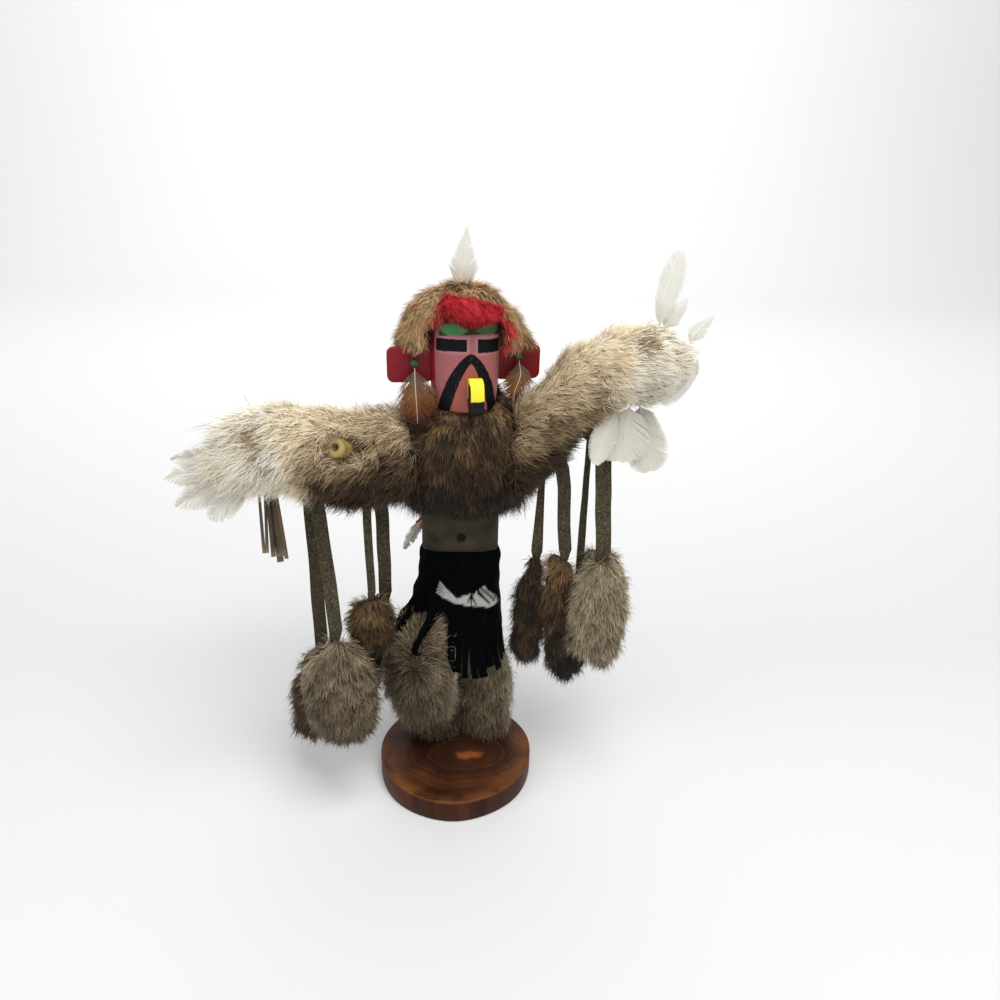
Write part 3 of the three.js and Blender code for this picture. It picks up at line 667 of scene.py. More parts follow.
def stroke(spots, start, end, wide):
    """A brush line between two spots, pointed at its end."""
    run = np.subtract(end, start)
    share = np.clip(((spots - start) @ run) / (run @ run), 0, 1)
    off = np.linalg.norm(spots - start - share[:, None] * run, axis=1)
    return wide / 2 * (1 - 0.6 * share) - off


def eased(depth, soft=0.3):
    """A share from 0 to 1 across an edge."""
    return np.clip(0.5 + depth / soft / 2, 0, 1)


# The painted feather's outline in x and z, and the ends of the brush strokes at its quill.
FEATHER_BODY = [
    (-1.3, 120.3), (1.6, 121.7), (4.8, 122.7), (7.4, 123.4), (8.7, 122.7), (9.8, 124.3),
    (11.6, 125.2), (14.5, 127.2), (16.3, 123.4), (19.5, 119.7), (21.7, 116), (22.1, 113.9),
    (21.6, 112.9), (16.3, 113.9), (11.1, 115.4), (6.3, 116.2), (2.1, 117.4), (-1.3, 117.8)]
BRUSH = [(-9.6, 129.8), (-10.1, 128), (-10.3, 126.3), (-10.8, 124.8), (-11, 123.2), (-8.6, 121.4)]


def feather_paint(spots):
    """White paint on the kilt's front: a brushy end, a broad vane and the dark lines across it."""
    white = eased(inside(spots, FEATHER_BODY))
    for k, end in enumerate(BRUSH):
        white = np.maximum(white, eased(stroke(spots, (-0.6, 119.6 - 0.25 * k), end, 1.9)))
    for end in ((5.3, 117.8), (7.4, 116.6), (10, 116.4)):
        white *= 1 - eased(stroke(spots, (7.4, 122.5), end, 1.3))
    white *= 1 - eased(stroke(spots, (11.3, 123.7), (17.5, 115.7), 1.9))
    white *= 1 - eased(stroke(spots, (13.2, 125.2), (20.5, 115.7), 1.9))
    for across_by in (0.35, 1.05):
        line = stroke(spots, (12.2 + across_by, 124 + across_by), (18.6 + across_by, 116), 0.45)
        white = np.maximum(white, 0.8 * eased(line))
    return white


black, tree = finish("black_leather", 0.9, specular_ior_level=0.04)
spot = place_of(tree)
creases = speckle(tree, spot, 170, 5, 0.6)
pores = speckle(tree, spot, 1500, 2)
worn_black = ramp(tree, creases, (0.35, "#020203"), (0.6, "#040506"), (0.8, "#0b0d0f"))
brushed = wire(tree, "ShaderNodeAttribute", attribute_name="paint").outputs["Fac"]
thin_paint = times(tree, brushed, fade(tree, speckle(tree, spot, 420, 4), 0.22, 0.42))
painted = layer(tree, speckle(tree, spot, 260, 3), "#8d8d89", "#c0c0bb")
paint(tree, layer(tree, thin_paint, worn_black, painted), None,
      layer(tree, 0.4, creases, pores), 0.25, 0.7)


def kilt_sheet():
    """The wrap as a grid round the hips, slit below the hem, thickened inwards."""
    luck = np.random.default_rng(31)
    front = np.radians(np.linspace(-146, -34, 160))
    behind = np.radians(np.linspace(-34, 214, 64))[1:-1]
    around = np.concatenate([front, behind])
    sides = len(around)
    centre = BODY[:2]
    high = KILT_TOP - BODY[3] * np.sin(around) * math.tan(math.radians(9)) * 1.6
    shares = np.linspace(0, 1, KILT_ROWS)
    samples = np.linspace(150, FRINGE_END - 1, 40)
    reach = even_out(surface_from_outside("kilt", around, samples, centre), 3)
    girth = np.concatenate([[0], np.cumsum(np.linalg.norm(np.diff(np.stack(
        [BODY[2] * 1.25 * np.cos(around), BODY[3] * 1.25 * np.sin(around)], 1), axis=0), axis=1))])
    strip = np.floor(girth / STRIP_WIDE).astype(int)
    edge = np.diff(strip, append=strip[0]) != 0
    strips = strip.max() + 1
    shortened = luck.uniform(-1.5, 3.0, strips)[strip]
    sway = luck.normal(0, 1.0, strips)[strip]
    swing = luck.normal(0, 0.05, strips)[strip]
    thigh = np.clip(1 - np.abs(np.degrees(around) - THIGH_AT) / THIGH_HALF, 0, 1)
    thigh = np.minimum(thigh * 2.2, 1)
    over_knee = thigh > 0.6
    behind_thigh = np.abs((np.degrees(around) - THIGH_BACK + 180) % 360 - 180)
    behind_thigh = np.clip(1.3 - behind_thigh / 26, 0, 1)
    hem = KILT_HEM + HEM_LIFT * thigh
    end = FRINGE_END + shortened + FRINGE_LIFT * thigh
    place_in = np.zeros(sides)
    for k in range(strips):
        own = np.flatnonzero(strip == k)
        place_in[own] = np.linspace(-1, 1, len(own)) if len(own) > 1 else 0
    all_rows = KILT_ROWS + FRINGE_ROWS
    grid = np.zeros((all_rows, sides, 3))
    for i in range(all_rows):
        if i < KILT_ROWS:
            height = high + (hem - high) * shares[i]
            angle, hang = around, 0.0
        else:
            down = (i - KILT_ROWS + 1) / FRINGE_ROWS
            height = hem + (end - hem) * down - 1.6 * (1 - np.abs(place_in)) * down * thigh
            angle = around + swing * down - 0.09 * place_in * down ** 0.6 * (0.15 + thigh)
            hang = sway * down ** 2 + 0.5 * down + 4.4 * thigh * min(1.0, 3 * down)
        out = np.array([np.interp(-height[j], -samples, reach[:, j]) for j in range(sides)])
        pulled = np.clip(1 - np.abs(np.degrees(around)) / 40, 0, 1)
        out = out + hang - 2.6 * pulled * np.clip((140 - height) / 40, 0, 1)
        out = out + 2.0 * behind_thigh * np.clip(1.4 - np.abs(height - 113) / 16, 0, 1)
        grid[i] = np.stack([centre[0] + out * np.cos(angle), centre[1] + out * np.sin(angle),
                            height], 1)
    ripple = 0.35 * drift(grid.reshape(-1, 3), 9, 7).reshape(grid.shape[:2])
    grid[..., :2] += ripple[..., None] * np.stack([np.cos(around), np.sin(around)], 1)
    faces, spots = [], []
    for i in range(all_rows - 1):
        for j in range(sides):
            k = (j + 1) % sides
            if i >= KILT_ROWS - 1 and (edge[j] or over_knee[j] and strip[j] % 2 == 0):
                continue
            faces.append(((i + 1) * sides + j, (i + 1) * sides + k, i * sides + k, i * sides + j))
            left, right = j / sides, (j + 1) / sides
            top, bottom = 1 - i / all_rows, 1 - (i + 1) / all_rows
            spots += [(left, bottom), (right, bottom), (right, top), (left, top)]
    points = grid.reshape(-1, 3)
    piece = mesh_piece("kilt_wrap", points, faces, spots, black)
    brushed_on = feather_paint(points[:, [0, 2]] - (0.6, 4.4)) * (points[:, 1] < centre[1])
    piece.data.attributes.new("paint", "FLOAT", "POINT").data.foreach_set(
        "value", brushed_on.astype(np.float32))
    thick = piece.modifiers.new("thick", "SOLIDIFY")
    thick.thickness = KILT_THICK * MM
    thick.offset = -1
    return piece


dress(kilt_sheet(), "black_leather", "kilt")

# ---- Vest ------------------------------------------------------------------------------------
# A pelt of wild brown fur wrapped round the chest. The hair is dark at the skin, banded tan and
# black above, and lies down and outwards from the neck.
brown_pelt = pelt_finish(
    "brown_pelt", (0.0, "#080604", "#130e09", "#221910"), (0.3, "#1a130c", "#3d2d1d", "#634c34"),
    (0.6, "#35271a", "#80633f", "#ac8a60"), (0.85, "#59452f", "#ad8c62", "#dcc199"),
    (1.0, "#7a6449", "#cdb38a", "#f0dfc0"))


def vest_tone(places, out):
    """Mottled, with dark bars and paler shoulders, and darker downwards as painted shade, darkest
    below where the pelt turns under.
    """
    bars = 0.1 * drift(places * (1, 1, 1.6), 13, 41) + 0.08 * drift(places, 4, 43)
    beside = 0.2 * np.clip((np.abs(places[:, 0] - 4) - 13) / 11, 0, 1) * (places[:, 2] > 203)
    # Painted shade: the tone falls with height, darkest low on the chest.
    return bars + beside + 0.35 * np.clip((places[:, 2] - 189) / 40, -0.25, 1.1)


def vest_lay(places, out):
    """Down from the neck and out to the shoulders."""
    ray = places - np.array((3.0, -3.0, 236.0))
    return unit(ray) + np.array((0, 0, -0.25))


def vest_reach(places):
    """Short under the chin, longer at the shoulders, where it lies over the wings."""
    beside = np.abs(places[:, 0] - 4)
    chin = 0.5 * np.clip((places[:, 2] - 221) / 5, 0, 1) * (beside < 20)
    return 1 + 0.9 * np.clip((beside - 18) / 8, 0, 1) - chin


coat("vest_fur", "vest", "brown_fur", brown_pelt, int(44000 * THICK), 8.5, vest_tone, vest_lay, 51,
     rise=0.36, touching=("head", "body"), lumps=1.0, clump=1.5, gather=0.16, stray=0.3,
     reach_at=vest_reach)

# ---- Wings -----------------------------------------------------------------------------------
# The arms, bound in long pale hare fur as wings: the left one droops, the right one is raised.
# Cream above, grey-brown below, and whiter at their ends, with painted light on the hair that
# faces up and painted shade on the hair that faces down. The left hand looks out of the fur.
HAND_AT = np.array((-56.9, -31.8, 218.4))
HAND_OUT = unit(np.array((-0.3, -0.9, 0.34)))
pale_pelt = pelt_finish(
    "pale_pelt", (0.0, "#0c0906", "#1f170f", "#33261a"), (0.2, "#2c2117", "#5c4834", "#846a4b"),
    (0.45, "#66533c", "#a08a6a", "#c9b28b"), (0.68, "#94826a", "#d0bd9c", "#ecdcbb"),
    (0.82, "#bda986", "#efddb8", "#fff3d6"), (0.9, "#a89e8b", "#dad1bd", "#f2ebda"),
    (1.0, "#d9d3c2", "#f7f2e3", "#fffdf3"))


def wing_tone(way, end_at, slope, painted_light_by, painted_shade_by, root_to, patch, under):
    """Cream, paler where the hair faces up and darker where it faces down as painted light and
    shade; brown out to root_to and below under, a height and its climb, and white past end_at
    along the wing, where the border slants by slope; one darker patch."""
    def tone(places, out):
        run = way * places[:, 0]
        past = np.minimum(run - end_at - slope * places[:, 2], run - 64)
        near = np.clip((root_to - run) / 35, 0, 1)
        mottle = 0.07 * drift(places, 12, 61) + 0.045 * drift(places, 5, 62)
        low = np.clip((under[0] + under[1] * run - places[:, 2]) / 18, 0, 1)
        # Painted light on hair that faces up and painted shade on hair that faces down.
        body = (0.57 + painted_light_by * np.clip(out[:, 2], 0, 1) - painted_shade_by * np.clip(-out[:, 2], 0, 1)
                - near * 0.34 - low * 0.26 + mottle)
        body = np.clip(body, 0.02, 0.84)
        # The white is also darker where it faces down: painted shade.
        white = 0.96 + 0.05 * drift(places, 9, 63) - 0.07 * np.clip(-out[:, 2], 0, 1)
        share = np.clip((past + 4 * drift(places, 4, 64)) / 11, 0, 1)
        shade = body + (np.clip(white, 0.86, 1) - body) * share
        off = np.linalg.norm((places - patch)[:, [0, 2]], axis=1)
        off += 1.2 * drift(places, 4, 65) + 2.2 * drift(places, 1.6, 66)
        return np.where((off < 4.4) & (out[:, 1] < 0), 0.4, shade)
    return tone


def wing_lay(way, lift):
    """Out along the wing, and round it to hang below."""
    return lambda places, out: np.tile((way, 0, lift - 0.35), (len(places), 1))


def beside_hand(places):
    """1 within 6 mm of the hand's middle line, 0 from 9 mm off."""
    off = places - HAND_AT
    off = np.linalg.norm(off - (off @ HAND_OUT)[:, None] * HAND_OUT, axis=1)
    return np.clip((9 - off) / 3, 0, 1) * (places[:, 1] < -16)


def left_wing_rise(places):
    """The hair stands round the hand."""
    return 0.4 + 0.4 * beside_hand(places)


def left_wing_reach(places):
    """Short round the hand, longer down towards the wing's end."""
    return 1 - 0.45 * beside_hand(places) + 0.8 * np.clip((-78 - places[:, 0]) / 20, 0, 1)


coat("wing_left_fur", "wing_left", "pale_fur", pale_pelt, int(46000 * THICK), 9.5,
     wing_tone(-1, 0, 0.33, 0.36, 0.6, 74, (-90, -30, 221), (215, 0.05)), wing_lay(-1, -0.1), 71,
     rise=left_wing_rise, depth=2.8, lumps=1.6, stray=0.36, clump=1.7, gather=0.18,
     touching=("vest",), reach_at=left_wing_reach)
coat("wing_right_fur", "wing_right", "pale_fur", pale_pelt, int(43000 * THICK), 8.5,
     wing_tone(1, -162, 0.9, 0.44, 0.68, 64, (84, -30, 266), (198, 0.5)), wing_lay(1, 0.5), 72,
     rise=0.38, depth=2.8, lumps=1.4, stray=0.32, clump=1.7, gather=0.18, touching=("vest",))

# ---- Hand ------------------------------------------------------------------------------------
# The end of the left arm: a bare wooden peg, its arris eased and a small hole drilled in it. It
# looks out of the fur that is bound round it.
HAND_RADIUS = 4.9
HAND_BORE = 1.7


def turned(name, profile, start, way, material, sides=40):
    """A turned piece: each profile spot is a radius and a way along from start."""
    side = unit(np.cross(way, (0.0, 1.0, 0.0) if abs(way[2]) > 0.9 else (0.0, 0.0, 1.0)))
    up = np.cross(way, side)
    around = np.linspace(0, 2 * math.pi, sides, endpoint=False)
    rings = [start + way * along + r * (np.cos(around)[:, None] * side
                                        + np.sin(around)[:, None] * up) for r, along in profile]
    return rings_piece(name, rings, material)


bare, tree = finish("bare_wood", 0.55)
spot = place_of(tree)
fibre = speckle(tree, spot, 260, 5, 0.6, (0.4, 1, 0.4))
pale_wood = ramp(tree, fibre, (0.3, "#6f5c2e"), (0.5, "#a08c50"), (0.72, "#bfac70"))
paint(tree, pale_wood, None, fibre, 0.15)
hand = turned("hand_peg", [
    (HAND_RADIUS, -18), (HAND_RADIUS, -9), (HAND_RADIUS, -1.3), (HAND_RADIUS - 0.5, -0.35),
    (HAND_RADIUS - 1.4, 0), (HAND_BORE + 1.0, 0), (HAND_BORE + 0.3, -0.25), (HAND_BORE, -0.9),
    (HAND_BORE, -5)], HAND_AT, HAND_OUT, bare)
dress(hand, "bare_wood", "hand_left")

# ---- Head ------------------------------------------------------------------------------------
# A turned wooden mask painted pink, with black eyes, a black arch over the beak, a green brow
# and red sides.
HEAD_AT = (3.1, -6.0)
HEAD_LOW = 232.4
HEAD_RADIUS = 16.8
HEAD_TURN = math.radians(9.6)
HEAD_PROFILE = [(15.0, 0), (15.6, 1), (16.0, 8), (16.4, 14), (16.7, 22), (16.8, 30), (16.6, 36),
                (16.2, 40), (14.8, 45), (12.5, 48.5), (9.5, 50.3), (6, 51), (2, 51.9)]


def in_mask(tree, where):
    """The point from the mask's middle line, along the way the mask faces, as x, y and z."""
    off_line = shifted(tree, where, "SUBTRACT", (HEAD_AT[0] * MM, HEAD_AT[1] * MM, 0))
    own = wire(tree, "ShaderNodeVectorRotate", {"Vector": off_line, "Angle": -HEAD_TURN},
               rotation_type="Z_AXIS").outputs[0]
    return wire(tree, "ShaderNodeSeparateXYZ", {0: own}).outputs


mask, tree = finish("mask_paint", 0.65, specular_ior_level=0.12)
spot = place_of(tree)
x_at, y_at, z_at = in_mask(tree, spot)
turn = times(tree, calc(tree, "ARCTAN2", x_at, times(tree, y_at, -1.0)), 180 / math.pi)
height = times(tree, z_at, 1 / MM)
wobble = times(tree, less(tree, speckle(tree, spot, 330, 2), 0.5), 0.9)
height = plus(tree, height, wobble)
arc = plus(tree, times(tree, turn, math.radians(HEAD_RADIUS)), wobble)
half = calc(tree, "ABSOLUTE", arc)


def arch(top, reach, drop, power):
    """How far a spot lies within an arch whose half width grows below its top."""
    below = calc(tree, "MAXIMUM", calc(tree, "DIVIDE", less(tree, top, height), drop), 0)
    edge = times(tree, calc(tree, "POWER", below, power), reach)
    return fade(tree, less(tree, edge, half), -0.15, 0.25)


def bar(left, right, low_left, low_right, high_left, high_right, soft=0.22):
    """A bar between two angles whose lower and upper edges slant."""
    share = calc(tree, "DIVIDE", less(tree, turn, left), right - left)
    low = plus(tree, low_left, times(tree, share, low_right - low_left))
    high = plus(tree, high_left, times(tree, share, high_right - high_left))
    degrees = soft * 3.4
    inside_share = times(tree, fade(tree, less(tree, turn, left), -degrees, degrees),
                         fade(tree, less(tree, right, turn), -degrees, degrees))
    for edge in (less(tree, height, low), less(tree, high, height)):
        inside_share = times(tree, inside_share, fade(tree, edge, -soft, soft))
    return inside_share


def almond(middle, wide, level_at, high):
    """A spot pointed at both ends, as wide as that many degrees each way."""
    off = calc(tree, "DIVIDE", less(tree, turn, middle), wide)
    square = calc(tree, "POWER", calc(tree, "ABSOLUTE", off), 2.0)
    room = times(tree, less(tree, 1.0, square), high)
    rise_by = calc(tree, "ABSOLUTE", less(tree, height, level_at))
    return fade(tree, less(tree, room, rise_by), -0.5, 0.6)


cloud = speckle(tree, spot, 130, 4)
face = layer(tree, cloud, "#995a5a", "#a86a69")
face = layer(tree, fade(tree, height, 256, 268), face, "#9b6268")
face = layer(tree, arch(256.6, 10.8, 23, 0.7), face, layer(tree, cloud, "#985448", "#a66153"))
for rim in (bar(-67, -2.5, 260.1, 260.9, 268.3, 268.9, 0.5),
            bar(7, 68, 260.0, 259.1, 268.9, 267.7, 0.5)):
    face = layer(tree, times(tree, rim, 0.45), face, "#b3868a")
soot = layer(tree, cloud, "#08080b", "#131316")
for eye in (bar(-62, -6.4, 261.3, 262.1, 267.0, 267.7), bar(11, 63, 261.2, 260.3, 267.6, 266.4)):
    face = layer(tree, eye, face, soot)
black_arch = less(tree, arch(261.0, 19.4, 29.4, 0.66), arch(256.2, 10.4, 23, 0.72))
dust = fade(tree, speckle(tree, spot, 1500, 1), 0.73, 0.78)
face = layer(tree, calc(tree, "MAXIMUM", black_arch, 0.0), face,
             layer(tree, dust, soot, "#a8a8a4"))
aside = calc(tree, "ABSOLUTE", less(tree, turn, 3))
face = layer(tree, fade(tree, aside, 67, 71), face, layer(tree, cloud, "#7c1622", "#971d2b"))
bow = calc(tree, "DIVIDE", calc(tree, "ABSOLUTE", less(tree, turn, 4)), 55)
brow_low = less(tree, 269.6, times(tree, calc(tree, "POWER", bow, 2), 1.56))
above_brow = fade(tree, less(tree, height, brow_low), -0.2, 0.3)
brow = layer(tree, cloud, "#2b2d1e", "#3d3a28")
for bright, light, dark in ((almond(-31, 26, 271.4, 2.8), "#3a7047", "#568c5e"),
                            (almond(34, 27, 271.3, 2.6), "#3d5c3c", "#55744f")):
    brow = layer(tree, bright, brow, layer(tree, cloud, light, dark))
face = layer(tree, times(tree, above_brow, fade(tree, aside, 61, 56)), face, brow)
paint(tree, face, wire(tree, "ShaderNodeMapRange", {0: cloud, 3: 0.42, 4: 0.62}).outputs[0],
      speckle(tree, spot, 300, 4, 0.6, (1, 1, 0.3)), 0.2, 0.6)
head = turned("mask", HEAD_PROFILE, np.array((*HEAD_AT, HEAD_LOW)), np.array((0.0, 0.0, 1.0)),
              mask, 96)
dress(head, "mask_paint", "head")

# ---- Ears ------------------------------------------------------------------------------------
# Thin wooden tabs let into the sides of the mask, painted red, with a painted highlight along
# their edges.
EAR_CORNER = 3.2
EAR_THICK = 3.2
EAR_EDGE = 0.6


def slab(name, outline, origin, side, up, thick, ease, material):
    """A board from a flat outline, its edges eased. outline is in side and up from origin."""
    outline = np.asarray(outline, float)
    side, up = unit(np.asarray(side, float)), unit(np.asarray(up, float))
    out = np.cross(side, up)
    middle = outline.mean(0)
    off_middle = outline - middle
    span = np.linalg.norm(off_middle, axis=1, keepdims=True)
    bands = [(ease * (1 - math.cos(angle)), (thick / 2 - ease) * np.sign(angle)
              + ease * math.sin(angle)) for angle in np.linspace(-math.pi / 2, math.pi / 2, 8)]
    rings = []
    for inset, depth in [(ease + 0.5, -thick / 2), *bands, (ease + 0.5, thick / 2)]:
        ring = middle + off_middle * (1 - inset / span)
        rings.append(origin + ring[:, :1] * side + ring[:, 1:] * up + depth * out)
    return rings_piece(name, rings, material)


def rounded_box(wide_from, wide_to, low, high, corner):
    """The outline of a board whose four corners are rounded, going round from low."""
    left, right, bottom, top = wide_from + corner, wide_to - corner, low + corner, high - corner
    return [(x + corner * math.cos(a), y + corner * math.sin(a))
            for x, y, first in ((right, bottom, -90), (right, top, 0), (left, top, 90),
                                (left, bottom, 180))
            for a in np.radians(np.linspace(first, first + 90, 7))]


red_paint, tree = finish("ear_paint", 0.5, specular_ior_level=0.3)
spot = place_of(tree)
cloud = speckle(tree, spot, 110, 4)
red = layer(tree, cloud, "#6e0a14", "#86121e")
# A paler red on the sharp edges: a painted highlight.
edge_highlight = wire(tree, "ShaderNodeNewGeometry").outputs["Pointiness"]
red = layer(tree, fade(tree, edge_highlight, 0.53, 0.62), red, "#a8343d")
paint(tree, red, None, speckle(tree, spot, 300, 4, 0.6, (1, 1, 0.3)), 0.2, 0.6)
ear_side = np.array((math.cos(HEAD_TURN), math.sin(HEAD_TURN), 0))
for side_name, way in (("left", -1), ("right", 1)):
    ear = slab(f"ear_{side_name}_tab", rounded_box(14.8, 37, 244.4, 261.2, EAR_CORNER),
               np.array((*HEAD_AT, 0.0)), ear_side * way, (0, 0, 1), EAR_THICK, EAR_EDGE,
               red_paint)
    dress(ear, "ear_paint", f"ear_{side_name}")

# ---- Beak ------------------------------------------------------------------------------------
# A hooked block glued to the mask, bright yellow above and on its ridge, black at its tip and on
# its left cheek.
BEAK_FACE = HEAD_RADIUS - 0.2
BEAK_TIP = BEAK_FACE + 8.2
BEAK_WIDE = 6.6
BEAK_EDGE = 0.45
BEAK_ASIDE = 1.9  # how far it sits from the mask's middle line


def curve(start, bend, end, count):
    """Spots along a bend from start to end."""
    return [tuple((1 - t) ** 2 * np.array(start) + 2 * t * (1 - t) * np.array(bend)
                  + t * t * np.array(end)) for t in np.linspace(0, 1, count)]


beak_outline = [(BEAK_FACE, 238.8), (BEAK_FACE, 244), (BEAK_FACE, 249.6)]
beak_outline += curve((BEAK_FACE + 1.5, 249.9), (BEAK_FACE + 7.4, 250.2), (BEAK_TIP, 242.4), 12)
beak_outline += [(BEAK_TIP, 240)]
beak_outline += curve((BEAK_TIP, 237.5), (BEAK_FACE + 7.8, 233.6), (BEAK_FACE + 4.6, 233.5), 8)
front_way = np.array((math.sin(HEAD_TURN), -math.cos(HEAD_TURN), 0))
yellow, tree = finish("beak_paint", 0.5, specular_ior_level=0.2)
spot = place_of(tree)
x_at, y_at, z_at = in_mask(tree, spot)
beak_height = plus(tree, z_at, times(tree, speckle(tree, spot, 300, 3), 0.0012))
sun = layer(tree, speckle(tree, spot, 200, 3), "#e6d21c", "#f7e84a")
tip_black = fade(tree, beak_height, 0.2414, 0.2408)
cheek = fade(tree, x_at, -0.00112, -0.0013)
in_cheek = fade(tree, times(tree, y_at, -1.0), (BEAK_FACE + 1.6) * MM, (BEAK_FACE + 2.0) * MM)
cheek_high = fade(tree, beak_height, 0.2486, 0.248)
cheek = times(tree, times(tree, cheek, in_cheek), cheek_high)
beak_colour = layer(tree, calc(tree, "MAXIMUM", tip_black, cheek), sun, "#0e0f10")
paint(tree, beak_colour, None, speckle(tree, spot, 400, 3), 0.12)
beak = slab("beak_hook", beak_outline, np.array((*HEAD_AT, 0.0)) + ear_side * BEAK_ASIDE,
            front_way, (0, 0, 1), BEAK_WIDE, BEAK_EDGE, yellow)
dress(beak, "beak_paint", "beak")

# ---- Hair ------------------------------------------------------------------------------------
# A cap of the same wild fur, combed from the crown down over the top of the mask and the ears,
# stained red where it meets the forehead.
hair_pelt = pelt_finish(
    "hair_pelt", (0.0, "#1b120b", "#3c2817", "#5f442b"), (0.3, "#38271a", "#7b5b3b", "#a58256"),
    (0.55, "#56402a", "#ad875a", "#d9b787"), (0.78, "#7a5f3f", "#d1ae7b", "#f2dcb4"),
    (0.8, "#560c10", "#991c22", "#c0403a"), (1.0, "#7c1018", "#c4252c", "#dc5048"))


def round_mask(places):
    """How far round the mask from its front each point is, in radians."""
    return np.arctan2(places[:, 0] - HEAD_AT[0], -(places[:, 1] - HEAD_AT[1])) - HEAD_TURN


def hair_tone(places, out):
    """Ticked tan, paler where it faces up on the crown, a painted light; red locks beside the
    forehead.
    """
    turn_at = np.degrees(round_mask(places))
    # Hair that faces up is paler: painted light.
    tone = 0.46 + 0.12 * drift(places, 9, 81) + 0.07 * drift(places, 22, 82) + 0.12 * out[:, 2]
    tone = np.minimum(tone, 0.74)
    beside = (np.abs(turn_at) > 36) & (places[:, 2] < 284)
    stain = beside & (drift(places, 7, 83) > (np.abs(turn_at) - 62) / 9)
    return np.where(stain, 0.9, tone)


def hair_lay(places, out):
    """From the crown down all round, and in over the edges of the mask."""
    ray = places - np.array((2.0, 0.0, 296.0))
    turn_at = round_mask(places)
    inward = np.stack([-np.cos(turn_at), -np.sin(turn_at), 0 * turn_at], 1)
    inward *= (np.sign(turn_at) * np.clip(1.5 - np.abs(np.abs(turn_at) - 1.05) * 3, 0, 1))[:, None]
    return unit(ray) + np.array((0, 0, -0.25)) + 0.5 * inward


def under_fluff(places):
    """The front of the cap, which the red down covers."""
    return (np.abs(round_mask(places)) < 0.8) & (places[:, 2] < 281)


coat("hair_fur", "hair", "brown_fur", hair_pelt, int(30000 * THICK), 7.5, hair_tone, hair_lay, 91,
     rise=0.36, touching=("head", "ear_left", "ear_right", "forehead_fluff"), lumps=0.8, stray=0.3,
     clump=1.5, gather=0.16, bare_at=under_fluff)

# ---- Forehead fluff --------------------------------------------------------------------------
# A swag of soft down, dyed red and glued across the brow where the hair ends. Its fibres are
# short, fine and loose.
red_down = pelt_finish(
    "red_down", (0.0, "#4e070d", "#96121f", "#c02430"), (0.6, "#7c0d17", "#c91c2c", "#e2404a"),
    (1.0, "#a81522", "#df2f3d", "#f0666b"))
down_low, down_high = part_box("forehead_fluff")


def clear_of_brow(places):
    """The right end drawn up off the brow."""
    lower = np.clip((down_high.z / MM - places[:, 2]) / (down_high.z - down_low.z) * MM, 0, 1)
    lift = 6.5 * lower * np.clip((places[:, 0] - 3) / 15, 0, 1)
    return np.stack([0 * lift, 0 * lift, lift], 1)


# The down is paler where it faces up: painted light.
coat("forehead_down", "forehead_fluff", "red_fluff", red_down, int(9000 * THICK), 4.2,
     lambda p, n: 0.5 + 0.15 * drift(p, 5, 101) + 0.2 * n[:, 2], down_and((0.35, -0.5, 0.7)), 111,
     rise=0.45, depth=1.4, lumps=0.5, stray=0.42, clump=1.0, gather=0.1, sag=0.0, wide=0.15,
     touching=("head",), form=clear_of_brow)

# ---- Crest feather ---------------------------------------------------------------------------
# A white craft feather, its vane cut to a lance point. Its quill is pushed into the crown of the
# head through the hair, and it stands upright.
FEATHER_SAMPLES = 9000  # spots on the solid from which its form is read
BARB_STEPS = 4  # pieces in a barb


def vane_finish(name, roughness, *stops):
    """A feather coloured along its length, with its barbs ruled finely and a paler shaft."""
    material, tree = finish(name, roughness, specular_ior_level=0.3, sheen_weight=0.1)
    chart = wire(tree, "ShaderNodeUVMap", uv_map="OFBake").outputs[0]
    side_on, along = wire(tree, "ShaderNodeSeparateXYZ", {0: chart}).outputs[:2]
    off = calc(tree, "ABSOLUTE", less(tree, side_on, 0.5))
    colour = ramp(tree, along, *stops)
    slanted = plus(tree, along, times(tree, off, -0.7))
    rule = wire(tree, "ShaderNodeTexNoise", {"W": slanted, "Scale": 70, "Detail": 2},
                noise_dimensions="1D").outputs[0]
    colour = layer(tree, times(tree, fade(tree, rule, 0.42, 0.6), 0.25), colour, "#8d8a7c",
                   "MULTIPLY")
    paint(tree, layer(tree, times(tree, fade(tree, off, 0.045, 0.03), 0.7), colour, "#e6e0cc"))
    return material


white_vane = vane_finish("white_vane", 0.55, (0.0, "#cfcabb"), (0.3, "#ecebe2"), (1.0, "#f6f5ef"))
down_vane = vane_finish("down_vane", 0.6, (0.0, "#cbc4b4"), (0.4, "#e9e6dc"), (1.0, "#fbfaf4"))


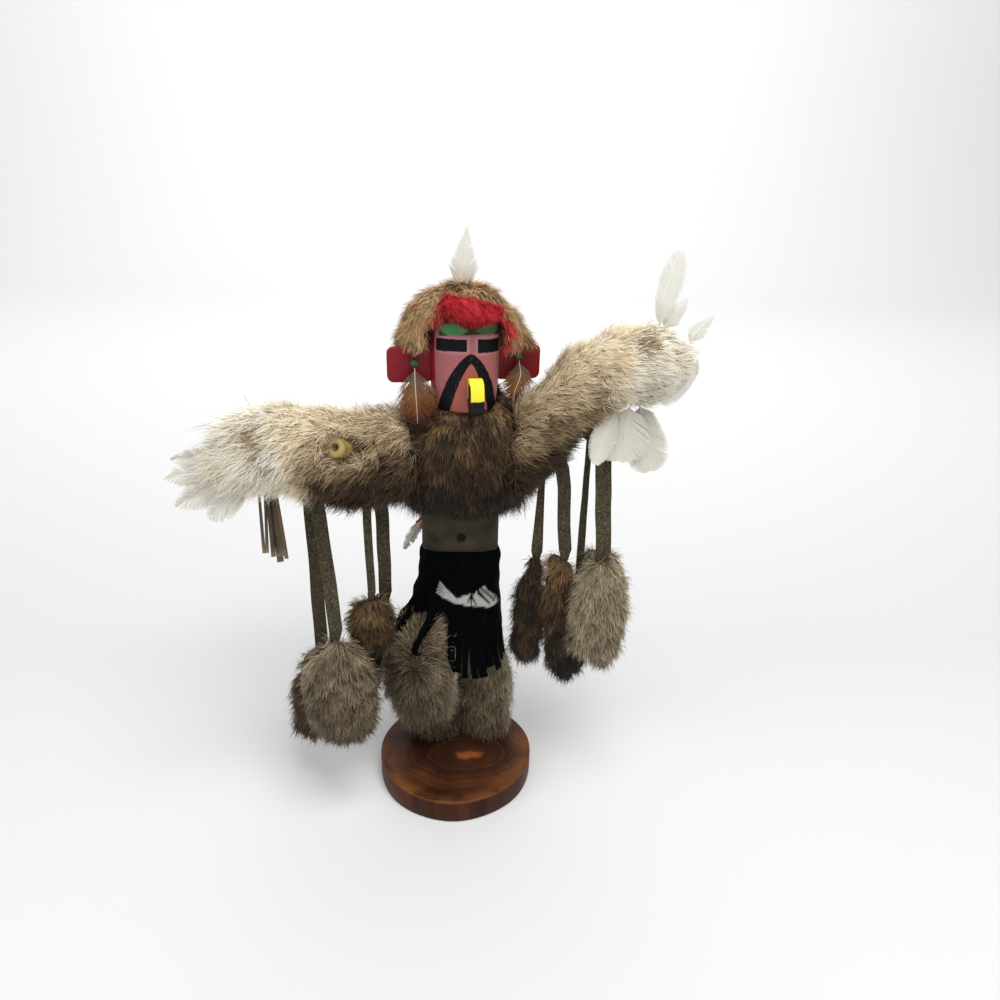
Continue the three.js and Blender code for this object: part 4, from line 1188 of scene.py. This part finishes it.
def feather(name, node, slot, vane, quill_near, barbs, seed, sweep_by, split, shaft_share=0.5,
            fray=0.06, shaft=0.42, curl=0.0, layers=1, fluff=0.0, fine=1.0, form=None,
            first_barb=0.04, mottle=0.0, grow=1.0):
    """A feather fitted to its solid: a tapered shaft and rows of barbs on both sides, each a
    narrow ribbon. sweep_by is how far barbs slant, split how they part, fray how ragged the
    edge is, curl how far the edges cup, and layers and fluff how thick the down stands; fine
    thins the barbs, form gives a cut outline as runs and half widths of each side, first_barb is
    where the barbs begin, mottle how their shade varies and grow lengthens the whole."""
    luck = np.random.default_rng(seed)
    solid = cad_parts[node].data
    solid.calc_loop_triangles()
    corners = np.array([[solid.vertices[i].co[:] for i in t.vertices]
                        for t in solid.loop_triangles]) / MM
    pick, mix = scattered(corners, FEATHER_SAMPLES, luck)
    over_it = np.concatenate([(corners[pick] * mix).sum(1), corners.reshape(-1, 3)])
    middle = over_it.mean(0)
    long_way, wide_way, thin_way = np.linalg.svd(over_it - middle, full_matrices=False)[2]
    if (np.asarray(quill_near) - middle) @ long_way > 0:
        long_way = -long_way
    wide_way = np.cross(long_way, thin_way)
    local = (over_it - middle) @ np.stack([long_way, wide_way, thin_way]).T
    low, high = local[:, 0].min(), local[:, 0].max()
    bins = 30
    which = np.clip(((local[:, 0] - low) / (high - low) * bins).astype(int), 0, bins - 1)
    places = (np.arange(bins) + 0.5) / bins
    left = np.array([local[which == b, 1].min() for b in range(bins)])
    right = np.array([local[which == b, 1].max() for b in range(bins)])
    cup = np.array([local[which == b, 2].mean() for b in range(bins)])
    ticks = np.linspace(0, 1, 61)
    left, right, cup = (np.interp(ticks, places, np.convolve(
        np.pad(values, 1, "edge"), (0.2, 0.6, 0.2), "valid")) for values in (left, right, cup))
    left[-1], right[-1] = (left[-1] + right[-1]) / 2 - 0.2, (left[-1] + right[-1]) / 2 + 0.2
    if form is not None:
        width = right.max() - left.min()
        ends = (left[4] + right[4]) / 2, (left[-4] + right[-4]) / 2
        centre_line = np.interp(ticks, (0, 1), ends)
        left = centre_line - width * 0.52 * np.interp(ticks, *form[0])
        right = centre_line + width * 0.52 * np.interp(ticks, *form[1])
    mid = left + (right - left) * shaft_share
    mid = np.convolve(np.pad(mid, 8, "edge"), np.ones(17) / 17, "valid")

    def point(t, off, lift):
        along = low + (high - low) * t
        base_lift = np.interp(t, ticks, cup)
        return middle + along[..., None] * long_way + off[..., None] * wide_way + (
            base_lift + lift)[..., None] * thin_way

    points, faces, spots = [], [], []
    high = low + (high - low) * grow
    length = high - low
    shaft_at = np.linspace(0, 0.97, 16)
    for i, t in enumerate(shaft_at):
        thick = shaft * (1 - 0.85 * t) + 0.08
        for a in np.linspace(0, 2 * math.pi, 6, endpoint=False):
            points.append(point(np.array(t), np.interp(t, ticks, mid) + thick * np.cos(a),
                                np.array(thick * np.sin(a))))
    for i in range(len(shaft_at) - 1):
        for j in range(6):
            k = (j + 1) % 6
            faces.append((6 * i + j, 6 * i + k, 6 * i + 6 + k, 6 * i + 6 + j))
            spots += [(0.485 + 0.005 * j, shaft_at[i]), (0.49 + 0.005 * j, shaft_at[i]),
                      (0.49 + 0.005 * j, shaft_at[i + 1]), (0.485 + 0.005 * j, shaft_at[i + 1])]
    widest = max(-left.min(), right.max(), 1) * 2.2
    spans = np.linspace(0, widest, 80)
    for row in range(layers):
        for side, edge in ((-1, left), (1, right)):
            groups = max(3, int(barbs / 9))
            parting = 1 + 0.3 * luck.normal(0, split, groups)
            heave = luck.normal(0, 0.3 * split, groups) + (row - (layers - 1) / 2) * fluff
            cuts = np.sort(luck.uniform(0, 1, groups - 1))
            for b in range(barbs):
                t0 = first_barb + (0.97 - first_barb) * (b + row / layers) / barbs
                group = int(np.searchsorted(cuts, t0))
                slant = sweep_by * parting[group] / length * (1 + (1 - fine) * luck.normal() * 0.6)
                run = t0 + slant * spans * (1 + 0.3 * spans / widest)
                limit = np.abs(np.interp(run, ticks, edge) - np.interp(run, ticks, mid))
                over = (spans > limit) | (run > 1)
                reach = spans[int(np.argmax(over))] if over.any() else widest
                reach *= 1 - fray * abs(luck.normal())
                share = np.linspace(0, 1, BARB_STEPS + 1)
                off = reach * share
                at = np.minimum(t0 + slant * off * (1 + 0.3 * off / widest), 0.999)
                lift = heave[group] * share + curl * share ** 2 + 0.1 * luck.normal() * share
                lift = lift + fluff * 0.5 * luck.normal() * share ** 1.5
                line = point(at, np.interp(at, ticks, mid) + side * off, lift)
                half = 0.5 * length * (0.97 - first_barb) / barbs * 1.5 * fine
                shade = at + mottle * luck.normal()
                first = len(points)
                for i, centre_at in enumerate(line):
                    taper = 1 - 0.7 * (i / BARB_STEPS) ** 3
                    points += [centre_at - long_way * half * taper,
                               centre_at + long_way * half * taper]
                over_side = 0.5 + side * (0.05 + 0.44 * share)
                rise_by = 0.4 / barbs
                for i in range(BARB_STEPS):
                    a = first + 2 * i
                    faces.append((a, a + 1, a + 3, a + 2))
                    spots += [(over_side[i], shade[i] - rise_by),
                              (over_side[i], shade[i] + rise_by),
                              (over_side[i + 1], shade[i + 1] + rise_by),
                              (over_side[i + 1], shade[i + 1] - rise_by)]
    return dress(mesh_piece(name, points, faces, np.clip(spots, 0.001, 0.999), vane), slot, node)


LANCE = ((0, 0.23, 0.6, 1), (0.62, 1, 0.52, 0.01))  # runs and half widths of either side
feather("crest_feather_vane", "crest_feather", "white_feather", white_vane, (2, -2, 280), 80, 3,
        sweep_by=1.0, split=0.2, fray=0.0, shaft_share=0.6, first_barb=-0.35, grow=1.04,
        form=(LANCE, LANCE))

# ---- Ear pendants ----------------------------------------------------------------------------
# A small tawny feather under a cut bead of green glass, threaded together and hung in front of
# each ear.
glass, tree = finish("green_glass", 0.08, coat_weight=0.5)
paint(tree, layer(tree, speckle(tree, place_of(tree), 500, 2), "#0c2a1b", "#1e6b43"))
tawny_vane = vane_finish("tawny_vane", 0.7, (0.0, "#4e3f33"), (0.3, "#735a42"), (0.5, "#82552b"),
                         (0.75, "#733b17"), (0.9, "#44190f"), (1.0, "#2c0e0b"))


def middle_of(node):
    """The middle of a solid's box."""
    low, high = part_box(node)
    return np.array((low + high) / 2) / MM


def cut_bead(name, node):
    """A barrel bead of small flat facets, whose ends are flat."""
    rings = []
    for k, (r, z) in enumerate(((0.6, -1.6), (1.5, -1.4), (2.1, -0.6), (2.1, 0.6), (1.5, 1.4),
                                (0.6, 1.6))):
        around = np.linspace(0, 2 * math.pi, 9, endpoint=False) + 0.35 * k
        rings.append(middle_of(node) + np.stack([r * np.cos(around), r * np.sin(around),
                                                 np.full(9, z)], 1))
    piece = rings_piece(name, rings, glass)
    piece.data.polygons.foreach_set("use_smooth", [False] * len(piece.data.polygons))
    return dress(piece, "green_glass", node)


for side_name, seed in (("left", 5), ("right", 6)):
    cut_bead(f"bead_{side_name}_glass", f"bead_{side_name}")
    feather(f"ear_feather_{side_name}_vane", f"ear_feather_{side_name}", "tawny_feather",
            tawny_vane, middle_of(f"bead_{side_name}"), 50, seed, sweep_by=1.1, split=0.8,
            fray=0.3, shaft=0.14, curl=-0.6, layers=6, fluff=0.5, fine=0.6, mottle=0.1, grow=1.2)

# ---- Thongs ----------------------------------------------------------------------------------
# Strips of grey-green suede, cut by hand and folded in two over the arms inside the fur. The
# ends of their strands are sewn to the fur tabs.
STRAP_EDGE = 0.3
STRAP_CELL = 2.2  # spacing of its points
suede, tree = finish("suede", 0.85, specular_ior_level=0.2, sheen_weight=0.05)
spot = place_of(tree)
nap = speckle(tree, spot, 900, 4, 0.65)
dusty = speckle(tree, spot, 120, 3)
hide = layer(tree, dusty, "#2e291c", "#514836")
hide = layer(tree, fade(tree, nap, 0.52, 0.7), hide, "#6c644d")
hide = layer(tree, fade(tree, nap, 0.48, 0.32), hide, "#16130c")
paint(tree, hide, None, nap, 0.3, 0.9)


def softened(name, node, material, seed, wave=0.14, into=()):
    """The node's own form with its edges eased and its flats slightly uneven. Its ends run on
    into the pieces named in into."""
    shape = bmesh.new()
    shape.from_mesh(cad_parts[node].data)
    bmesh.ops.remove_doubles(shape, verts=shape.verts, dist=0.01 * MM)
    bmesh.ops.dissolve_limit(shape, angle_limit=0.02, verts=shape.verts, edges=shape.edges)
    sharp = [e for e in shape.edges if len(e.link_faces) == 2 and e.calc_face_angle() > 0.9]
    bmesh.ops.bevel(shape, geom=sharp, offset=STRAP_EDGE * MM, segments=2, profile=0.6,
                    affect="EDGES", clamp_overlap=True)
    for _ in range(5):
        long_edges = [e for e in shape.edges if e.calc_length() > STRAP_CELL * MM]
        if not long_edges:
            break
        bmesh.ops.subdivide_edges(shape, edges=long_edges, cuts=1, use_grid_fill=True)
    bmesh.ops.triangulate(shape, faces=shape.faces)
    points = np.array([v.co[:] for v in shape.verts]) / MM
    shift = np.stack([drift(points, 26, seed + k) for k in range(3)], 1) * wave
    for other in into:
        wall = wall_of(other)
        near = np.array([wall.find_nearest(Vector(p) * MM, 1.6 * MM)[0] is not None
                         for p in points])
        shift[near] -= (0, 0, 6)
    for vert, move in zip(shape.verts, shift):
        vert.co += Vector(move) * MM
    mesh = bpy.data.meshes.new(name)
    shape.to_mesh(mesh)
    shape.free()
    mesh.polygons.foreach_set("use_smooth", [True] * len(mesh.polygons))
    return placed(name, mesh, material)


CUT = {  # strands cut wider or narrower: in front or behind split_y, below top, about middle
    "left_inner": [(True, -12, 184, -44.4, -0.6, 0.6, 0.6, 0)],
    "right_inner": [(False, -8.2, 200, 42.6, 0.5, 0.85, 0.4, 0)],
    "right_outer": [(False, -8.5, 215, 66.2, 0.4, 0.62, 0.45, 21),
                    (True, -13.5, 215, 74.2, 0.0, 1.2, 1.2, 0)]}
for place, seed in (("left_outer", 1), ("left_inner", 2), ("right_inner", 3), ("right_outer", 4)):
    tabs = [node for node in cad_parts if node.startswith(f"tab_{place}")]
    strap = softened(f"thong_{place}_strap", f"thong_{place}", suede, seed=seed * 7, into=tabs)
    for front, split_y, top, middle, moved, low_share, high_share, drop in CUT.get(place, ()):
        for vert in strap.data.vertices:
            x, y, z = np.array(vert.co) / MM
            if (y < split_y) == front and z < top:
                share = high_share + (low_share - high_share) * min(max((195 - z) / 40, 0), 1)
                vert.co.x = (middle + moved + (x - middle) * share) * MM
                vert.co.z -= drop * MM * (z < 160)
    dress(strap, "suede", f"thong_{place}")

# ---- Fur tabs --------------------------------------------------------------------------------
# Round pads of rabbit fur with the hair outwards, gathered to a knot and sewn to the ends of the
# thongs. The outer front ones are grey, and most of the others brown.


def tab(node, fur, slot, hairs, reach, shade, seed, depth=2.8, lit=0.0, form=None):
    """A pad whose hair rays from its knot, down and outwards. lit is how much paler its top is, a
    painted light.
    """
    low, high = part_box(node)
    half = (high - low).z / MM / 2
    middle = middle_of(node)
    knot = middle + (0, 0, half * 1.1)

    def tone(places, out):
        # Painted light where the hair faces up and on the top, painted shade where it faces
        # forwards.
        return (shade + 0.1 * drift(places, 9, seed) + 0.07 * drift(places, 4, seed + 1)
                + 0.1 * out[:, 2] - 0.1 * np.clip(-out[:, 1] - 0.6, 0, 1)
                + lit * np.clip((places[:, 2] - middle[2]) / half, -1, 1))

    def lay(places, out):
        return unit(places - knot) + np.array((0, 0, -0.3))

    coat(f"{node}_fur", node, slot, fur, int(hairs * THICK), reach, tone, lay, seed, rise=0.42,
         depth=depth, lumps=1.2, stray=0.34, clump=1.5, gather=0.14, form=form)


def gathered_left(places):
    """The lower left corner drawn up, which shows the pad behind."""
    lift = 9 * np.clip((80 - places[:, 0]) / 14, 0, 1) * np.clip((112 - places[:, 2]) / 18, 0, 1)
    return np.stack([0 * lift, 0 * lift, lift], 1)


def moved_left(places):
    """The pad hangs a little to the left of its knot."""
    return np.tile((-3.4, 0, 0), (len(places), 1))


tab("tab_left_outer_front", grey_pelt, "grey_fur", 12500, 7.5, 0.34, 201, 3.2, 0.12)
tab("tab_left_outer_back", brown_pelt, "brown_fur", 6500, 7.5, 0.28, 211)
tab("tab_left_inner_front", brown_pelt, "brown_fur", 6500, 7.5, 0.3, 221, 2.4, 0.08)
tab("tab_left_inner_back", brown_pelt, "brown_fur", 3500, 7.0, 0.18, 231, 1.6)
tab("tab_right_inner_front", brown_pelt, "brown_fur", 6500, 7.5, 0.26, 241, 0.6, 0.3, moved_left)
tab("tab_right_inner_back", brown_pelt, "brown_fur", 5500, 7.0, 0.18, 251, 1.5)
tab("tab_right_outer_front", grey_pelt, "grey_fur", 11000, 7.5, 0.56, 261, 2.8, 0.05,
    gathered_left)
tab("tab_right_outer_back", grey_pelt, "grey_fur", 4500, 7.5, 0.62, 271, 1.5)

# ---- Wing feathers ---------------------------------------------------------------------------
# White feathers set in the ends of the wings: quills standing at the right, broad ones hanging
# below it, three of them greyed as painted shade, and soft down fanning from the left.
RIGHT_END = (98, -14, 258)
LEFT_END = (-96, -18, 208)
# A greyer copy of the white vane for the feathers that hang under the wing: painted shade.
shaded_white_vane = vane_finish("shaded_white_vane", 0.6, (0.0, "#c8c4b6"), (0.4, "#d7d4c7"), (1.0, "#e0ddd1"))
for part, barbs, slant, open_by in (("tall", 76, 0.9, 0.25), ("curled", 50, 0.8, 0.5),
                                    ("pointed", 64, 1.1, 0.35), ("broad", 60, 0.8, 0.5)):
    feather(f"right_{part}_vane", f"wing_feather_right_{part}", "white_feather", white_vane,
            RIGHT_END, barbs, 300 + barbs, sweep_by=slant, split=open_by)
for part, barbs in (("front", 64), ("middle", 66), ("back", 62)):
    feather(f"right_hanging_{part}_vane", f"wing_feather_right_hanging_{part}", "white_feather",
            shaded_white_vane, (80, -14, 240), barbs, 320 + barbs, sweep_by=0.5, split=0.2, fray=0.02,
            shaft=0.3)
for part, barbs in (("upper", 56), ("middle", 62), ("lower", 58), ("downy", 54)):
    feather(f"left_{part}_vane", f"wing_feather_left_{part}", "white_feather", down_vane,
            LEFT_END, barbs, 340 + barbs, sweep_by=1.2, split=1.2, fray=0.12, curl=0.6, layers=2,
            fluff=1.2)

# ---- Wing fringe -----------------------------------------------------------------------------
# A bunch of narrow strips cut from tan leather, tied together at their tops and hung under the
# end of the left wing.
FRINGE = [  # each strip's top and bottom in x and z, how far forward it lies, and its width
    ((-89.0, 192), (-86.6, 153.0), -18.6, 1.9), ((-90.9, 192), (-87.9, 154.6), -18.0, 2.4),
    ((-91.9, 192), (-90.5, 153.9), -17.4, 2.8), ((-91.0, 192), (-90.3, 150.0), -16.6, 3.2),
    ((-93.0, 192), (-93.0, 154.2), -18.2, 2.2), ((-94.1, 192), (-95.9, 156.4), -17.2, 1.5),
    ((-97.0, 192), (-97.5, 156.1), -17.8, 1.6)]
STRIP_THICK = 1.0
STRIP_STEPS = 12
tan_hide, tree = finish("tan_hide", 0.8)
spot = place_of(tree)
nap = speckle(tree, spot, 700, 4, 0.65)
strip_cloud = speckle(tree, spot, 160, 2, 0.5, (1, 1, 0.2))
hide = ramp(tree, strip_cloud, (0.35, "#221e17"), (0.5, "#4a3c28"), (0.65, "#5f4e35"))
# The strips are paler along their sharp edges.
pale_edge = wire(tree, "ShaderNodeNewGeometry").outputs["Pointiness"]
hide = layer(tree, times(tree, fade(tree, pale_edge, 0.54, 0.64), 0.6), hide, "#b5a583")
paint(tree, hide, None, nap, 0.25, 0.8)
points, faces, spots = [], [], []
for number, (top, bottom, forward, wide) in enumerate(FRINGE):
    first = len(points)
    for i in range(STRIP_STEPS + 1):
        share = i / STRIP_STEPS
        bend = 0.7 * math.sin(2.2 * share + 1.7 * number)
        middle = np.array((top[0] + (bottom[0] - top[0]) * share ** 0.9,
                           forward + bend * share + 0.4 * math.sin(number),
                           top[1] + (bottom[1] - top[1]) * share))
        facing = 0.35 * math.sin(2.3 * number) + 0.3 * share * math.sin(5 * number)
        side = np.array((math.cos(facing), math.sin(facing), 0)) * wide / 2 * (0.8 + 0.25 * share)
        back = np.array((-math.sin(facing), math.cos(facing), 0)) * STRIP_THICK / 2
        for u, v in ((-1, -0.6), (-0.8, -1), (0.8, -1), (1, -0.6), (1, 0.6), (0.8, 1), (-0.8, 1),
                     (-1, 0.6)):
            points.append(middle + side * u + back * v)
    for i in range(STRIP_STEPS):
        for j in range(8):
            k = (j + 1) % 8
            a = first + 8 * i
            faces.append((a + k, a + j, a + 8 + j, a + 8 + k))
            band = (number + (j + np.array((1, 0, 0, 1))) / 8.5) / len(FRINGE)
            spots += list(zip(band, np.array((i, i, i + 1, i + 1)) / STRIP_STEPS))
    for end, order in ((first, range(8)), (first + 8 * STRIP_STEPS, range(7, -1, -1))):
        faces.append(tuple(end + j for j in order))
        spots += [((number + 0.5) / len(FRINGE), 0.5)] * 8
dress(mesh_piece("wing_fringe_strips", points, faces, spots, tan_hide), "suede", "wing_fringe")

# ---- Tail ------------------------------------------------------------------------------------
# A small downy white feather behind the waist, its quill bound with red yarn. The yarn is wound
# round and knotted, and its three ends hang loose.
YARN_RADIUS = 0.75
yarn, tree = finish("red_yarn", 0.9, sheen_weight=0.3)
spot = place_of(tree)
paint(tree, layer(tree, speckle(tree, spot, 900, 3), "#8e1f2c", "#cf4453"), None,
      speckle(tree, spot, 1200, 2), 0.3)
dress(softened("tail_binding", "tail_tie", yarn, 88, wave=0.15), "red_yarn", "tail_tie")
knot = middle_of("tail_tie")
points, faces, spots = [], [], []
for end in ((-22.5, 19.0, 156.0), (-20.0, 18.5, 152.5), (-17.0, 19.5, 155.5)):
    run = unit(np.array(end) - knot)
    side = unit(np.cross(run, (0.0, 1.0, 0.0)))
    up = np.cross(run, side)
    for i in range(9):
        share = i / 8
        middle = knot + (np.array(end) - knot) * share + up * 1.2 * math.sin(3 * share)
        for k in range(6):
            a = 2 * math.pi * k / 6 + 1.3 * share
            points.append(middle + YARN_RADIUS * (math.cos(a) * side + math.sin(a) * up))
            if i < 8:
                here = len(points) - 1
                beyond = here + 1 if k < 5 else here - 5
                faces.append((here, beyond, beyond + 6, here + 6))
                spots += [(k / 6, share), ((k + 1) / 6, share), ((k + 1) / 6, share + 0.125),
                          (k / 6, share + 0.125)]
dress(mesh_piece("tail_yarn_ends", points, faces, spots, yarn), "red_yarn", "tail_tie")
tail_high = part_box("tail_feather")[1]
quill_at = (tail_high.x / MM, middle_of("tail_feather")[1], tail_high.z / MM)
feather("tail_feather_vane", "tail_feather", "white_feather", down_vane, quill_at, 50, 401,
        sweep_by=1.0, split=1.2, fray=0.15)
